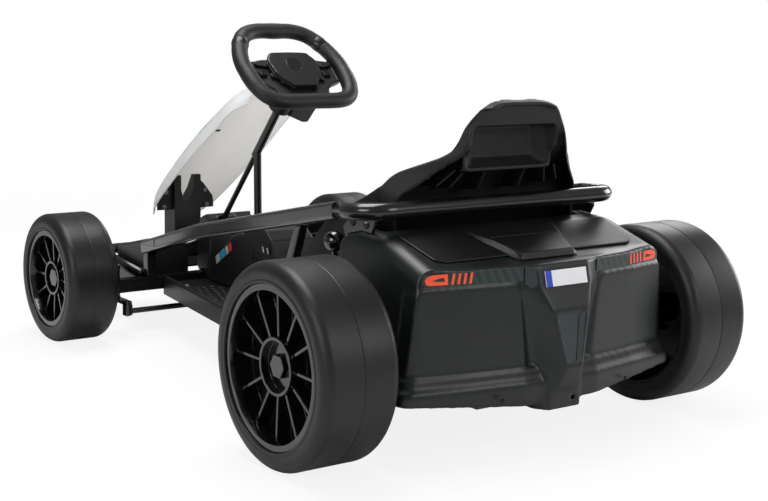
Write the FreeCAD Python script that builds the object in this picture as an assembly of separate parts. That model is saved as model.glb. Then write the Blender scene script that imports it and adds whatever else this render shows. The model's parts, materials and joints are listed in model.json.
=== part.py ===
import FreeCAD, Part
import math
import os

os.makedirs("parts", exist_ok=True)
vec = FreeCAD.Vector

# All sizes are millimetres: X is forward, Y is left, Z is up.
# Places along X are measured from the rear axle until the pieces are exported.

# Driving sizes of the whole kart
wheelbase = 828.0
seat_gap = 0.3
running_gap = 0.3
panel_wall = 4.0
seat_half = 182.0

# Wheels: outer radius, width, outer face from the middle, rim lip radius, hub ring radius
rear_wheel = {"radius": 140.0, "width": 118.0, "outer_y": 390.5}
front_wheel = {"radius": 115.0, "width": 94.0, "outer_y": 347.0}
sidewall_height = 29.0
hub_share = 0.357
shoulder_radius = 16.0
lip_inset = 3.0
lip_width = 9.0
barrel_wall = 4.0
spoke_count = 12
spoke_width = 4.5
spoke_face_depth = 15.0
spoke_depth = 22.0
web_thickness = 4.0
hub_wall = 5.0
cap_thickness = 9.0
cap_across = 34.0
axle_radius = 7.0
spindle_radius = 6.0

# Floor tray and the frame under it
tray_front_x = wheelbase - 14.0
tray_front_half = 120.0
tray_rear_x = 62.0
tray_rear_half = seat_half + 44.0
tray_bottom_z = 66.0
tray_floor_z = 88.0
tray_lip_height = 12.0
tray_lip_width = 12.0
foot_pad = {"length": 15.0, "width": 9.0, "height": 1.6, "pitch_x": 21.0, "pitch_y": 15.0}
foot_pad_rows = 5
foot_pad_columns = 8
foot_pad_start_x = wheelbase - 238.0
tube_side = 22.0
frame_half = 95.0
frame_rear_x = -88.0
frame_cross_x = (150.0, wheelbase - 358.0)

# Front axle, knuckles and tie rod
beam_side = 24.0
beam_bottom_z = 76.0
kingpin_y = 215.0
kingpin_radius = 5.0
sleeve_radius = 12.0
sleeve_bottom_z = 70.3
sleeve_top_z = 121.7
ear_thickness = 6.0
ear_half = 13.0
knuckle_plate = 5.0
knuckle_reach = 17.0
arm_length = 58.0
arm_half = 8.0
tie_rod_radius = 5.0
tie_rod_z = 51.5
tie_eye_radius = 9.0
tie_eye_rim = 1.5
link_plate_half = 13.0
link_plate_thickness = 5.0

# Steering: a point on the shaft, its slope, and the wheel
shaft_joint = vec(wheelbase - 154.0, 0.0, 345.0)
shaft_slope_deg = 48.9
shaft_radius = 5.0
column_tube_radius = 7.5
column_leg_radius = 7.0
crank_drop = 322.0
crank_length = 58.0
crank_thickness = 6.0
crank_half = 9.0
crank_pin_radius = 4.0
crank_pin_length = 24.0
slot_side_room = 1.4
crank_room = 50.0
hand_wheel_rise = 193.0
hand_wheel_lift = 18.5
hand_wheel_half_width = 100.0
hand_wheel_half_height = 89.5
hand_grip_radius = 12.0
hand_spoke_thickness = 12.0
pad_half_width = 51.0
pad_thickness = 10.0
spoke_set_back = 12.0
boss_radius = 20.0
boss_depth = 26.0
wheel_housing_radius = 21.0
wheel_housing_front = boss_depth + 5.3
wheel_housing_back = wheel_housing_front + 54.0

# Nose, bumper and front fairing
nose_rear_x = wheelbase + 20.0
nose_half = 139.0
nose_front_half = 112.0
nose_front_x = wheelbase + 198.0
nose_top_z = 168.0
nose_top_slope = 0.238
nose_bottom_z = 70.0
bumper_radius = 10.5
bumper_half = 150.0
bumper_front_x = wheelbase + 222.0
bumper_rear_z = 102.0
bumper_front_z = 118.0
bumper_corner_radius = 46.0
post_rear_x = wheelbase + 113.0
post_front_x = wheelbase + 157.0
post_half = 29.0
post_top_z = 271.0
post_notch_z = 221.0
post_notch_half = 14.0
fairing_wall = 3.0
fairing_slope_deg = 34.6
fairing_foot = vec(wheelbase + 157.0, 0.0, 190.0)

# Side rails, rear hoop and their struts
rail_width = 24.0
rail_height = 25.0
rail_corner_radius = 6.0
rail_recess_height = 11.0
rail_recess_depth = 4.0
rail_foot_side = 18.0
rail_post_x = wheelbase + 1.0
rail_front_y = 140.0
hoop_radius = 12.0
hoop_x = 2.0
hoop_z = 333.0
hoop_half = seat_half + 56.0
hoop_corner_radius = 42.0
strut_thickness = 14.0
strut_width = 17.0
strut_run = 95.0
strut_foot_room = 6.0
bracket_plate = 5.0
bracket_y = seat_half + 21.0
bracket_bottom_z = 270.0

# Seat
seat_wall = 5.0
seat_skin = 6.0
seat_pan_z = 205.0
seat_bottom_z = 186.0
# The window's mouth and floor: half width, bottom and top; and where they lie along X
seat_window_mouth = (79.0, 387.0, 446.0)
seat_window_floor = (60.0, 400.0, 443.0)
seat_window_rear_x = -29.0
seat_window_x = -10.0
seat_window_floor_x = 4.0
# Ribs on each side of the back's middle: distance out at the top and at the bottom
seat_rib_places = ((37.0, 37.0), (73.0, 91.0), (92.0, 119.0))
seat_rib_half = 1.5
seat_line_points = 49

# Rear housing
housing_half = 240.0
housing_front_x = 108.0
housing_bay_x = 27.0
bay_room = 3.0
housing_bottom_z = 64.0
housing_top_z = 303.0
skirt_top_z = 121.0
tail_x = -167.0
lid_thickness = 3.0
hatch_chamfer = 8.0
lamp_thickness = 1.2
plate_size = (76.0, 22.0, 1.5)
skirt_front_x = -20.0
tail_foot_x = -150.0
back_panel_height = 3.5
pocket_depth = 3.0
back_top_z = 268.0
lamp_low_z = 247.0
lamp_high_z = 265.0
tow_hole_radius = 4.0
tow_hole_depth = 16.0
tow_hole_z = 77.0
tow_hole_y = -17.0
tow_hole_inner_x = tail_foot_x + tow_hole_depth

# Running gear and the heavy masses in the housing
axle_z = rear_wheel["radius"]
carrier_thickness = 6.0
carrier_half = 22.0
motor_box = {"x": (-60.0, 22.0), "y": (128.0, 28.0), "z": (-36.0, 46.0)}
battery_box = {"x": (-98.0, 20.0), "y": 98.0, "height": 84.0}


def box(x_range, y_range, z_range):
    corner = vec(x_range[0], y_range[0], z_range[0])
    lengths = (x_range[1] - x_range[0], y_range[1] - y_range[0], z_range[1] - z_range[0])
    return Part.makeBox(*lengths, corner)


def rod(radius, start, end):
    return Part.makeCylinder(radius, (end - start).Length, start, end - start)


def tube(outer, inner, start, end):
    return rod(outer, start, end).cut(rod(inner, start, end))


def mirrored(shape):
    return shape.mirror(vec(0, 0, 0), vec(0, 1, 0))


def both_sides(shape):
    return [shape, mirrored(shape)]


def corner_arc(before, corner, after, radius):
    """Where a tangent arc of that radius starts, has its middle and ends."""
    into = (corner - before).normalize()
    out = (after - corner).normalize()
    half_turn = into.getAngle(out) / 2
    reach = radius * math.tan(half_turn)
    inward = (out - into).normalize()
    middle = corner + inward * (radius / math.cos(half_turn) - radius)
    return corner - into * reach, middle, corner + out * reach


def loop_of(points, radii):
    """A closed outline, with an arc at each corner that has a radius."""
    ends = []
    for number, corner in enumerate(points):
        if radii[number] > 0:
            after = points[(number + 1) % len(points)]
            ends.append(corner_arc(points[number - 1], corner, after, radii[number]))
        else:
            ends.append((corner, None, corner))
    edges = []
    for (first, middle, last), (following, _, _) in zip(ends, ends[1:] + ends[:1]):
        if middle is not None:
            edges.append(Part.Arc(first, middle, last).toShape())
        edges.append(Part.LineSegment(last, following).toShape())
    return Part.Wire(edges)


def face_of(points, radii=None):
    if radii is None:
        return Part.Face(Part.makePolygon(points + [points[0]]))
    return Part.Face(loop_of(points, radii))


def side_prism(outline, y_low, y_high, radii=None):
    """An outline of (x, z) points, drawn out along Y."""
    points = [vec(x, y_low, z) for x, z in outline]
    return face_of(points, radii).extrude(vec(0, y_high - y_low, 0))


def plan_prism(outline, z_low, z_high, radii=None):
    """An outline of (x, y) points, drawn out along Z."""
    points = [vec(x, y, z_low) for x, y in outline]
    return face_of(points, radii).extrude(vec(0, 0, z_high - z_low))


def rear_prism(outline, x_low, x_high, radii=None):
    """An outline of (y, z) points, drawn out along X."""
    points = [vec(x_low, y, z) for y, z in outline]
    return face_of(points, radii).extrude(vec(x_high - x_low, 0, 0))


def whole(half_outline):
    """The left half of an outline of (a, y) pairs, closed by its mirror image."""
    return half_outline + [(a, -y) for a, y in reversed(half_outline)]


def whole_rear(half_outline):
    """The left half of an outline of (y, z) pairs, closed by its mirror image."""
    return half_outline + [(-y, z) for y, z in reversed(half_outline)]


def both_ways(half_radii):
    """The corner radii of a whole outline, from those of its left half."""
    return list(half_radii) + list(reversed(half_radii))


def rounded_path(points, radii):
    """Straight runs through the points, with a tangent arc at each inner point."""
    edges = []
    start = points[0]
    for before, corner, after, radius in zip(points, points[1:], points[2:], radii):
        first, middle, last = corner_arc(before, corner, after, radius)
        edges.append(Part.LineSegment(start, first).toShape())
        edges.append(Part.Arc(first, middle, last).toShape())
        start = last
    edges.append(Part.LineSegment(start, points[-1]).toShape())
    return Part.Wire(edges)


def round_bar(points, radii, radius):
    path = rounded_path(points, radii)
    circle = Part.Circle(points[0], points[1] - points[0], radius)
    return path.makePipeShell([Part.Wire(circle.toShape())], True, False)


def rounded_section(centre, along, width, height, corner):
    """A rounded rectangle across the way a bar runs, with its width level."""
    forward = vec(along).normalize()
    side = vec(0, 0, 1).cross(forward).normalize()
    up = forward.cross(side)
    turns = ((1, 1), (-1, 1), (-1, -1), (1, -1))
    points = [centre + side * (width / 2 * a) + up * (height / 2 * b) for a, b in turns]
    return loop_of(points, [corner] * 4)


def straight_loft(sections):
    return Part.makeLoft(sections, True, True)


def fused(first, *others):
    return first.fuse(list(others)).removeSplitter()


# Where the pieces are kept until they are exported
pieces = {}


# Steering directions: the shaft runs down and forward, the hand wheel lies across it
slope = math.radians(shaft_slope_deg)
shaft_down = vec(math.cos(slope), 0, -math.sin(slope))
shaft_up = shaft_down * -1
wheel_up = vec(math.sin(slope), 0, math.cos(slope))
hub_centre = shaft_joint + shaft_up * hand_wheel_rise
hand_wheel_centre = hub_centre + wheel_up * hand_wheel_lift
crank_centre = shaft_joint + shaft_down * crank_drop
crank_end = crank_centre - wheel_up * crank_length


def wheel_solids(size, bore_radius, side):
    """Tyre and rim of one wheel; depth is measured inward from the tyre's outer face."""
    radius, width, outer_y = size["radius"], size["width"], size["outer_y"]
    lip = radius - sidewall_height
    hub = lip * hub_share

    def at(depth, r):
        return vec(r, outer_y - depth, 0)

    def turned(points):
        return face_of(points).revolve(vec(0, 0, 0), vec(0, 1, 0), 360)

    bead = lip + seat_gap
    outline = [at(0, bead), at(0, radius), at(width, radius), at(width, bead)]
    tyre = face_of(outline, [0, shoulder_radius, shoulder_radius, 0]).revolve(vec(0, 0, 0), vec(0, 1, 0), 360)

    dish = lip - lip_width
    well = dish - 3.0
    web_front = spoke_face_depth + spoke_depth
    web_back = web_front + web_thickness
    barrel = [at(lip_inset, lip), at(lip_inset, dish), at(spoke_face_depth, well)]
    barrel += [at(web_back, well), at(width - lip_inset, lip - barrel_wall), at(width - lip_inset, lip)]
    rim = turned(barrel)
    web = turned([at(web_front, hub - hub_wall), at(web_front, well + 1), at(web_back, well + 1),
                  at(web_back, hub - hub_wall)])
    hub_ring = turned([at(spoke_face_depth - 3, hub - hub_wall), at(spoke_face_depth - 3, hub),
                       at(web_back, hub), at(web_back, hub - hub_wall)])
    floor_front = spoke_face_depth + cap_thickness
    boss = turned([at(floor_front, bore_radius), at(floor_front, hub), at(floor_front + web_thickness, hub),
                   at(floor_front + web_thickness, hub * 0.6), at(width - 12, hub * 0.5),
                   at(width - 12, bore_radius)])
    spokes = []
    for number in range(spoke_count):
        blade = [at(spoke_face_depth + 2, hub - 2), at(spoke_face_depth, well + 1.5)]
        blade += [at(web_front + 1, well + 1.5), at(web_front + 1, hub - 2)]
        fin = face_of([p - vec(0, 0, spoke_width / 2) for p in blade]).extrude(vec(0, 0, spoke_width))
        fin.rotate(vec(0, 0, 0), vec(0, 1, 0), 360 / spoke_count * number)
        spokes.append(fin)
    hexagon = []
    for number in range(6):
        angle = math.radians(60 * number)
        hexagon.append(vec(cap_across / 2 * math.cos(angle), outer_y - spoke_face_depth,
                           cap_across / 2 * math.sin(angle)))
    cap = face_of(hexagon).extrude(vec(0, -cap_thickness - 1, 0))
    rim = fused(rim, web, hub_ring, boss, cap, *spokes)
    if side < 0:
        tyre, rim = mirrored(tyre), mirrored(rim)
    return tyre, rim


axle_places = (
    ("rear", rear_wheel, 0.0, axle_radius),
    ("front", front_wheel, wheelbase, spindle_radius),
)
for axle_name, wheel, wheel_x, pin_radius in axle_places:
    for side_name, side in (("left", 1), ("right", -1)):
        tyre, rim = wheel_solids(wheel, pin_radius + running_gap, side)
        for kind, solid in (("tyre", tyre), ("rim", rim)):
            solid.translate(vec(wheel_x, 0, wheel["radius"]))
            pieces[f"{kind}_{axle_name}_{side_name}"] = [solid]

# Depth below a rim's outer face at which the axle ends, clear of the cap
axle_end_depth = spoke_face_depth + cap_thickness + 3


def floor_tray():
    """A moulded tray: floor, skirts turned down, and a thick lip along each side."""
    def outline(inset, front_inset=0.0):
        front = (tray_front_x - front_inset, tray_front_half - inset)
        rear = (tray_rear_x + front_inset, tray_rear_half - inset)
        return whole([front, rear])

    floor_bottom = tray_floor_z - panel_wall
    tray = plan_prism(outline(0), tray_bottom_z, tray_floor_z)
    tray = tray.cut(plan_prism(outline(panel_wall, -1), tray_bottom_z - 1, floor_bottom))
    lip_top = tray_floor_z + tray_lip_height
    lip = plan_prism(outline(0), tray_floor_z - 1, lip_top)
    lip = lip.cut(plan_prism(outline(tray_lip_width, -1), tray_floor_z - 2, lip_top + 1))
    tray = fused(tray, lip)
    long_edges = [e for e in tray.Edges if abs(e.BoundBox.ZMin - lip_top) < 0.1
                  and e.BoundBox.ZLength < 0.1 and e.Length > 200]
    tray = tray.makeFillet(4.0, long_edges)
    pads = []
    for column in range(foot_pad_columns):
        for row in range(foot_pad_rows):
            x = foot_pad_start_x + column * foot_pad["pitch_x"]
            y = 52.0 + row * foot_pad["pitch_y"] + (column % 2) * foot_pad["pitch_y"] / 2
            reach = tray_front_half + (tray_front_x - x) * tray_taper - tray_lip_width - 10
            if y > reach:
                continue
            half_length = foot_pad["length"] / 2
            half_width = foot_pad["width"] / 2
            lozenge = [(x - half_length, y), (x, y - half_width), (x + half_length, y), (x, y + half_width)]
            pad = plan_prism(lozenge, tray_floor_z - 0.5, tray_floor_z + foot_pad["height"])
            pads += both_sides(pad)
    return tray.fuse(pads)


tray_taper = (tray_rear_half - tray_front_half) / (tray_front_x - tray_rear_x)
pieces["floor_tray"] = [floor_tray()]

frame_top_z = tray_floor_z - panel_wall - seat_gap
frame_bottom_z = frame_top_z - tube_side


def under_frame():
    """Two long square tubes joined by cross tubes."""
    half = tube_side / 2
    beam_rear_x = wheelbase - beam_side / 2
    long_tube = box((frame_rear_x, beam_rear_x - seat_gap), (frame_half - half, frame_half + half),
                    (frame_bottom_z, frame_top_z))
    cross = []
    for x in frame_cross_x + (frame_rear_x + half,):
        cross.append(box((x - half, x + half), (-frame_half, frame_half), (frame_bottom_z, frame_top_z)))
    return fused(long_tube, mirrored(long_tube), *cross)


pieces["under_frame"] = [under_frame()]


def front_axle_beam():
    half = beam_side / 2
    beam = box((wheelbase - half, wheelbase + half), (-kingpin_y, kingpin_y),
               (beam_bottom_z, beam_bottom_z + beam_side))
    sleeves = []
    bores = []
    for y in (kingpin_y, -kingpin_y):
        low = vec(wheelbase, y, sleeve_bottom_z)
        high = vec(wheelbase, y, sleeve_top_z)
        sleeves.append(rod(sleeve_radius, low, high))
        bores.append(rod(kingpin_radius + running_gap, low, high))
    beam = fused(beam, *sleeves)
    return beam.cut(bores)


pieces["front_axle_beam"] = [front_axle_beam()]


def knuckle():
    """Two ears on an upright plate, the kingpin bolt, the spindle and the steering arm."""
    low_top = sleeve_bottom_z - running_gap
    high_bottom = sleeve_top_z + running_gap
    low_bottom = low_top - ear_thickness
    high_top = high_bottom + ear_thickness
    plate_y = kingpin_y + knuckle_reach
    ears = []
    for bottom, top in ((low_bottom, low_top), (high_bottom, high_top)):
        ear = box((wheelbase - ear_half, wheelbase + ear_half), (kingpin_y, plate_y + knuckle_plate),
                  (bottom, top))
        ears += [ear, rod(ear_half, vec(wheelbase, kingpin_y, bottom), vec(wheelbase, kingpin_y, top))]
    plate = box((wheelbase - ear_half, wheelbase + ear_half), (plate_y, plate_y + knuckle_plate),
                (low_bottom, high_top))
    bolt = rod(kingpin_radius, vec(wheelbase, kingpin_y, low_bottom - 4), vec(wheelbase, kingpin_y, high_top + 6))
    head = rod(kingpin_radius + 3, vec(wheelbase, kingpin_y, high_top), vec(wheelbase, kingpin_y, high_top + 5))
    spindle_end = front_wheel["outer_y"] - axle_end_depth
    spindle_z = front_wheel["radius"]
    spindle = rod(spindle_radius, vec(wheelbase, plate_y, spindle_z), vec(wheelbase, spindle_end, spindle_z))
    arm_end = vec(wheelbase - arm_length, kingpin_y, low_bottom)
    arm = box((wheelbase - arm_length, wheelbase), (kingpin_y - arm_half, kingpin_y + arm_half),
              (low_bottom, low_top))
    arm_eye = rod(arm_half, arm_end, arm_end + vec(0, 0, ear_thickness))
    return fused(plate, bolt, head, spindle, arm, arm_eye, *ears)


left_knuckle = knuckle()
pieces["knuckle_left"] = [left_knuckle]
pieces["knuckle_right"] = [mirrored(left_knuckle)]

arm_bottom_z = sleeve_bottom_z - running_gap - ear_thickness
tie_rod_x = wheelbase - arm_length


def tie_rod():
    """The rod between the steering arms, with a slotted link plate for the crank's pin."""
    bar = rod(tie_rod_radius, vec(tie_rod_x, -kingpin_y, tie_rod_z), vec(tie_rod_x, kingpin_y, tie_rod_z))
    eyes = []
    eye_bottom = tie_rod_z - tie_rod_radius - tie_eye_rim
    for y in (kingpin_y, -kingpin_y):
        eyes.append(rod(tie_eye_radius, vec(tie_rod_x, y, eye_bottom), vec(tie_rod_x, y, arm_bottom_z - seat_gap)))
    plate_bottom = tie_rod_z - link_plate_thickness / 2
    plate_top = tie_rod_z + link_plate_thickness / 2
    pin_drop = (crank_end.z - tie_rod_z) / math.sin(slope)
    pin_x = crank_end.x + pin_drop * math.cos(slope)
    slot_half = crank_pin_radius + slot_side_room
    slot_rear = pin_x - crank_pin_radius - 5
    slot_front = pin_x + crank_pin_radius + 12
    plate = box((tie_rod_x, slot_front + 6), (-link_plate_half, link_plate_half), (plate_bottom, plate_top))
    slot = box((slot_rear, slot_front), (-slot_half, slot_half), (plate_bottom - 1, plate_top + 1))
    return fused(bar, plate, *eyes).cut(slot)


pieces["tie_rod"] = [tie_rod()]


def steering_shaft():
    """The shaft from the hand wheel's boss down to the crank, and the crank's pin."""
    top = hub_centre + shaft_down * boss_depth
    low = crank_centre + shaft_down * (crank_thickness / 2)
    shaft = rod(shaft_radius, top, low)
    crank = rod(crank_half, crank_centre - shaft_down * (crank_thickness / 2),
                crank_centre + shaft_down * (crank_thickness / 2))
    eye = crank.copy()
    eye.translate(crank_end - crank_centre)
    side = vec(0, crank_half, 0)
    lever = face_of([crank_centre - side, crank_centre + side, crank_end + side, crank_end - side])
    lever.translate(shaft_down * (-crank_thickness / 2))
    lever = lever.extrude(shaft_down * crank_thickness)
    pin = rod(crank_pin_radius, crank_end, crank_end + shaft_down * crank_pin_length)
    return fused(shaft, crank, eye, lever, pin)


pieces["steering_shaft"] = [steering_shaft()]


def on_wheel(across, up, toward_driver=0.0):
    """A point in the hand wheel's plane."""
    return hand_wheel_centre + vec(0, across, 0) + wheel_up * up + shaft_up * toward_driver


def hand_wheel_plate(outline, low, high):
    points = [on_wheel(across, up, low) for across, up in outline]
    return face_of(points).extrude(shaft_up * (high - low))


def steering_wheel():
    """A flat-bottomed grip on three flat spokes with a round boss behind."""
    wide = hand_wheel_half_width
    tall = hand_wheel_half_height
    # Left half of the grip's middle line, from the top to the flat bottom: across, up, corner radius
    half_line = ((0.0, tall, 0.0), (wide * 0.76, tall, 44.0), (wide, -tall * 0.14, 44.0),
                 (wide * 0.87, -tall, 32.0), (0.0, -tall, 0.0))
    points = [on_wheel(across, up) for across, up, _ in half_line]
    radii = [radius for _, _, radius in half_line[1:-1]]
    left_grip = round_bar(points, radii, hand_grip_radius)
    cross = [(wide - 4, 8.0), (pad_half_width, 12.0), (-pad_half_width, 12.0), (4 - wide, 8.0),
             (4 - wide, -34.0), (-pad_half_width, -42.0), (pad_half_width, -42.0), (wide - 4, -34.0)]
    lower = [(-pad_half_width, -38.0), (pad_half_width, -38.0), (44.0, 4 - tall), (-44.0, 4 - tall)]
    low = -spoke_set_back - hand_spoke_thickness / 2
    high = -spoke_set_back + hand_spoke_thickness / 2
    spokes = [hand_wheel_plate(cross, low, high), hand_wheel_plate(lower, low, high)]
    boss = rod(boss_radius, hub_centre + shaft_down * boss_depth, hub_centre + shaft_down * spoke_set_back)
    shaft_hole = rod(shaft_radius + seat_gap, hub_centre + shaft_down * (boss_depth + 1),
                     hub_centre + shaft_down * (boss_depth - 1))
    return fused(left_grip, mirrored(left_grip), boss, *spokes).cut(shaft_hole)


pieces["steering_wheel"] = [steering_wheel()]


def steering_pad():
    """The shield-shaped pad on the hand wheel's face."""
    shield = [(pad_half_width * 0.7, 25.0), (pad_half_width, 7.0), (pad_half_width * 0.88, -27.0),
              (pad_half_width * 0.43, -55.0)]
    shield += [(-across, up) for across, up in reversed(shield)]
    low = -spoke_set_back + hand_spoke_thickness / 2 + seat_gap
    return hand_wheel_plate(shield, low, low + pad_thickness)


pieces["steering_pad"] = [steering_pad()]


def wheel_housing():
    """The housing behind the hand wheel: a collar on the column and a box to the right."""
    front = hub_centre + shaft_down * wheel_housing_front
    back = hub_centre + shaft_down * wheel_housing_back
    collar = rod(wheel_housing_radius, front, back)
    # Outline of the box, as (across, depth below the hand wheel)
    outline = [(-10.0, wheel_housing_front), (-64.0, wheel_housing_front), (-58.0, wheel_housing_back + 17.0),
               (-46.0, wheel_housing_back + 17.0), (-10.0, wheel_housing_back)]
    points = [on_wheel(across, -40.0, -depth) for across, depth in outline]
    side_box = face_of(points, [0, 8.0, 5.0, 5.0, 0]).extrude(wheel_up * 40)
    hole = rod(shaft_radius + running_gap, front + shaft_up * 5, back + shaft_down * 25)
    return fused(collar, side_box).cut(hole)


pieces["wheel_housing"] = [wheel_housing()]
column_top = hub_centre + shaft_down * (wheel_housing_back + seat_gap)


def column_support():
    """The tube round the shaft and the leg that carries it on the console."""
    sleeve = rod(column_tube_radius, shaft_joint + shaft_down * 14, column_top)
    leg = rod(column_leg_radius, shaft_joint + vec(2, 0, 0), vec(column_leg_foot_x, 0, leg_foot_z))
    bore = rod(shaft_radius + running_gap, shaft_joint + shaft_down * 40, column_top + shaft_up * 5)
    return fused(sleeve, leg).cut(bore)


# Console: outline of its side, as (x, z) from the tip back
console_half = 40.0
console_tip_x = wheelbase - 42.0
console_top_x = wheelbase - 152.0
console_top_z = 196.0
console_rear_x = wheelbase - 268.0
leg_foot_z = console_top_z + seat_gap
console_base_z = tray_floor_z + seat_gap
console_outline = [(console_tip_x, console_base_z), (console_tip_x, 120.0), (console_top_x + 24, console_top_z - 8),
                   (console_top_x, console_top_z), (console_top_x - 20, console_top_z), (console_rear_x, 150.0),
                   (console_rear_x, console_base_z)]
column_leg_foot_x = console_top_x - 4
pieces["console"] = [side_prism(console_outline, -console_half, console_half)]
pieces["column_support"] = [column_support()]

pod_half = 44.0
pod_rear_low = vec(console_rear_x - 20, 0, 150.0)
pod_rear_high = vec(console_rear_x - 8, 0, 198.0)
pod_outline = [(console_rear_x - seat_gap, console_base_z), (console_rear_x - seat_gap, 150.0 + seat_gap),
               (console_top_x - 24, console_top_z), (console_top_x - 30, 208.0), (console_top_x - 66, 217.0),
               (console_rear_x + 15, 214.0), (pod_rear_high.x, pod_rear_high.z), (pod_rear_low.x, pod_rear_low.z),
               (console_rear_x - 24, console_base_z)]
pod_radii = [0, 0, 0, 8, 30, 14, 12, 12, 0]


def console_pod():
    clear = [(x, z + seat_gap) for x, z in console_outline]
    pod = side_prism(pod_outline, -pod_half, pod_half, pod_radii)
    return pod.cut(side_prism(clear, -pod_half - 1, pod_half + 1))


pieces["console_pod"] = [console_pod()]
button_radius = 9.0
button_height = 8.0
pod_rise = (pod_rear_high - pod_rear_low).normalize()
pod_outward = vec(-pod_rise.z, 0, pod_rise.x)
button_foot = pod_rear_low + (pod_rear_high - pod_rear_low) * 0.6 + pod_outward * seat_gap
pieces["console_button"] = [rod(button_radius, button_foot, button_foot + pod_outward * button_height)]


def nose_top(x):
    return nose_top_z - (x - nose_rear_x) * nose_top_slope


def nose_shell():
    """A shell open below, under the fairing's post, with a way for the steering crank in its rear wall."""
    def body(inset):
        side = [(nose_rear_x + inset, nose_bottom_z - inset), (nose_rear_x + inset, nose_top(nose_rear_x) - inset),
                (post_front_x, nose_top(post_front_x) - inset), (nose_front_x - inset, 116.0 - inset),
                (nose_front_x - inset, nose_bottom_z - inset)]
        plan = whole([(nose_rear_x + inset, nose_half - inset), (post_front_x - 20, nose_half - inset),
                      (nose_front_x - inset, nose_front_half - inset)])
        return side_prism(side, -nose_half, nose_half).common(plan_prism(plan, 0, 300))

    shaft_way = rod(shaft_radius + 4, shaft_joint, crank_centre + shaft_down * 20)
    crank_way = box((nose_rear_x - 1, nose_rear_x + panel_wall + 1), (-crank_room, crank_room), (0, 126.0))
    return body(0).cut(body(panel_wall)).cut(shaft_way).cut(crank_way)


pieces["nose_shell"] = [nose_shell()]


def bumper_tube():
    front_x = bumper_front_x - bumper_radius
    rear_x = wheelbase + beam_side / 2 + seat_gap
    points = [vec(rear_x, bumper_half + seat_gap, bumper_rear_z), vec(front_x, bumper_half + seat_gap, bumper_front_z),
              vec(front_x, -bumper_half - seat_gap, bumper_front_z), vec(rear_x, -bumper_half - seat_gap, bumper_rear_z)]
    return round_bar(points, [bumper_corner_radius] * 2, bumper_radius)


pieces["bumper_tube"] = [bumper_tube()]


def fairing_post():
    """An upright with two prongs, standing on the nose."""
    outline = [(post_rear_x, nose_top(post_rear_x) + seat_gap), (post_front_x, nose_top(post_front_x) + seat_gap),
               (post_front_x, post_notch_z), (post_rear_x + 12, post_top_z), (post_rear_x, post_top_z)]
    post = side_prism(outline, -post_half, post_half)
    notch = [(-9.0, post_notch_z), (9.0, post_notch_z), (post_notch_half, post_notch_z + 22),
             (post_notch_half, post_top_z + 1), (-post_notch_half, post_top_z + 1),
             (-post_notch_half, post_notch_z + 22)]
    return post.cut(rear_prism(notch, post_rear_x - 1, post_front_x + 1))


pieces["fairing_post"] = [fairing_post()]

fairing_angle = math.radians(fairing_slope_deg)
fairing_along = vec(-math.cos(fairing_angle), 0, math.sin(fairing_angle))
fairing_out = vec(math.sin(fairing_angle), 0, math.cos(fairing_angle))
# Sections up the fairing: distance from its foot, half width, depth of the crown
fairing_sections = (
    (0.0, 54.0, 44.0), (40.0, 66.0, 56.0), (140.0, 73.0, 62.0), (240.0, 75.0, 62.0),
    (340.0, 70.0, 58.0), (400.0, 66.0, 50.0), (428.0, 44.0, 34.0),
)


def fairing_section(distance, half_width, depth, wall, grown=0.0):
    base = fairing_foot + fairing_along * distance - fairing_out * grown

    def at(across, out):
        return base + vec(0, across, 0) + fairing_out * out

    outer_half = half_width + grown
    inner_half = half_width - wall - grown
    outer = Part.Arc(at(outer_half, 0), at(0, depth + grown), at(-outer_half, 0))
    inner = Part.Arc(at(inner_half, 0), at(0, depth - wall - grown), at(-inner_half, 0))
    edges = [outer.toShape(), Part.LineSegment(at(-outer_half, 0), at(-inner_half, 0)).toShape(),
             inner.toShape(), Part.LineSegment(at(inner_half, 0), at(outer_half, 0)).toShape()]
    return Part.Wire(Part.__sortEdges__(edges))


def fairing(grown=0.0):
    sections = [fairing_section(s, w, d, fairing_wall, grown) for s, w, d in fairing_sections]
    return straight_loft(sections)


pieces["fairing"] = [fairing()]


# Side rails: centre line from the front foot back to the hoop, as (x, y, z)
rail_rear_x = 72.0
rail_line = ((wheelbase + 14.0, rail_front_y, 152.5), (wheelbase - 256.0, seat_half - 10.0, 224.0),
             ((wheelbase - 82.0) / 2, seat_half + 13.0, 265.0), (193.0, seat_half + 35.0, 302.0),
             (rail_rear_x, seat_half + 49.0, 328.0))


def side_rail():
    points = [vec(*p) for p in rail_line]
    sections = []
    following = points[1:] + [vec(hoop_x, hoop_half, hoop_z)]
    for number, point in enumerate(points):
        before = point if number == len(points) - 1 else points[max(number - 1, 0)]
        after = following[number]
        sections.append(rounded_section(point, after - before, rail_width, rail_height, rail_corner_radius))
    rail = straight_loft(sections)
    half = rail_foot_side / 2
    foot = box((rail_post_x - half, rail_post_x + half), (rail_front_y - half, rail_front_y + half),
               (beam_bottom_z + beam_side + seat_gap, 150.0))
    return fused(rail, foot).cut(rail_recess(points[0], points[1]))


def rail_recess(front, rear):
    """The long shallow recess on the outer face of the rail's front run."""
    along = (rear - front).normalize()
    outward = vec(0, 0, 1).cross(along).normalize() * -1
    up = outward.cross(along) * -1
    length = (rear - front).Length
    start = front + along * (length * 0.26) + outward * (rail_width / 2 - rail_recess_depth)
    high = up * (rail_recess_height / 2)
    low = high * -1
    end = along * (length * 0.62)
    corners = [start + low, start + high, start + end + high, start + end + along * 14 + low]
    return face_of(corners).extrude(outward * 20)


left_rail = side_rail()
pieces["side_rail_left"] = [left_rail]
pieces["side_rail_right"] = [mirrored(left_rail)]


def rear_hoop():
    """The round tube that joins the rails behind the seat."""
    end = vec(*rail_line[-1])
    corner = vec(hoop_x, hoop_half, hoop_z)
    start = end + (corner - end).normalize() * seat_gap
    points = [start, corner, vec(hoop_x, -hoop_half, hoop_z), vec(start.x, -start.y, start.z)]
    return round_bar(points, [hoop_corner_radius] * 2, hoop_radius)


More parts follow.
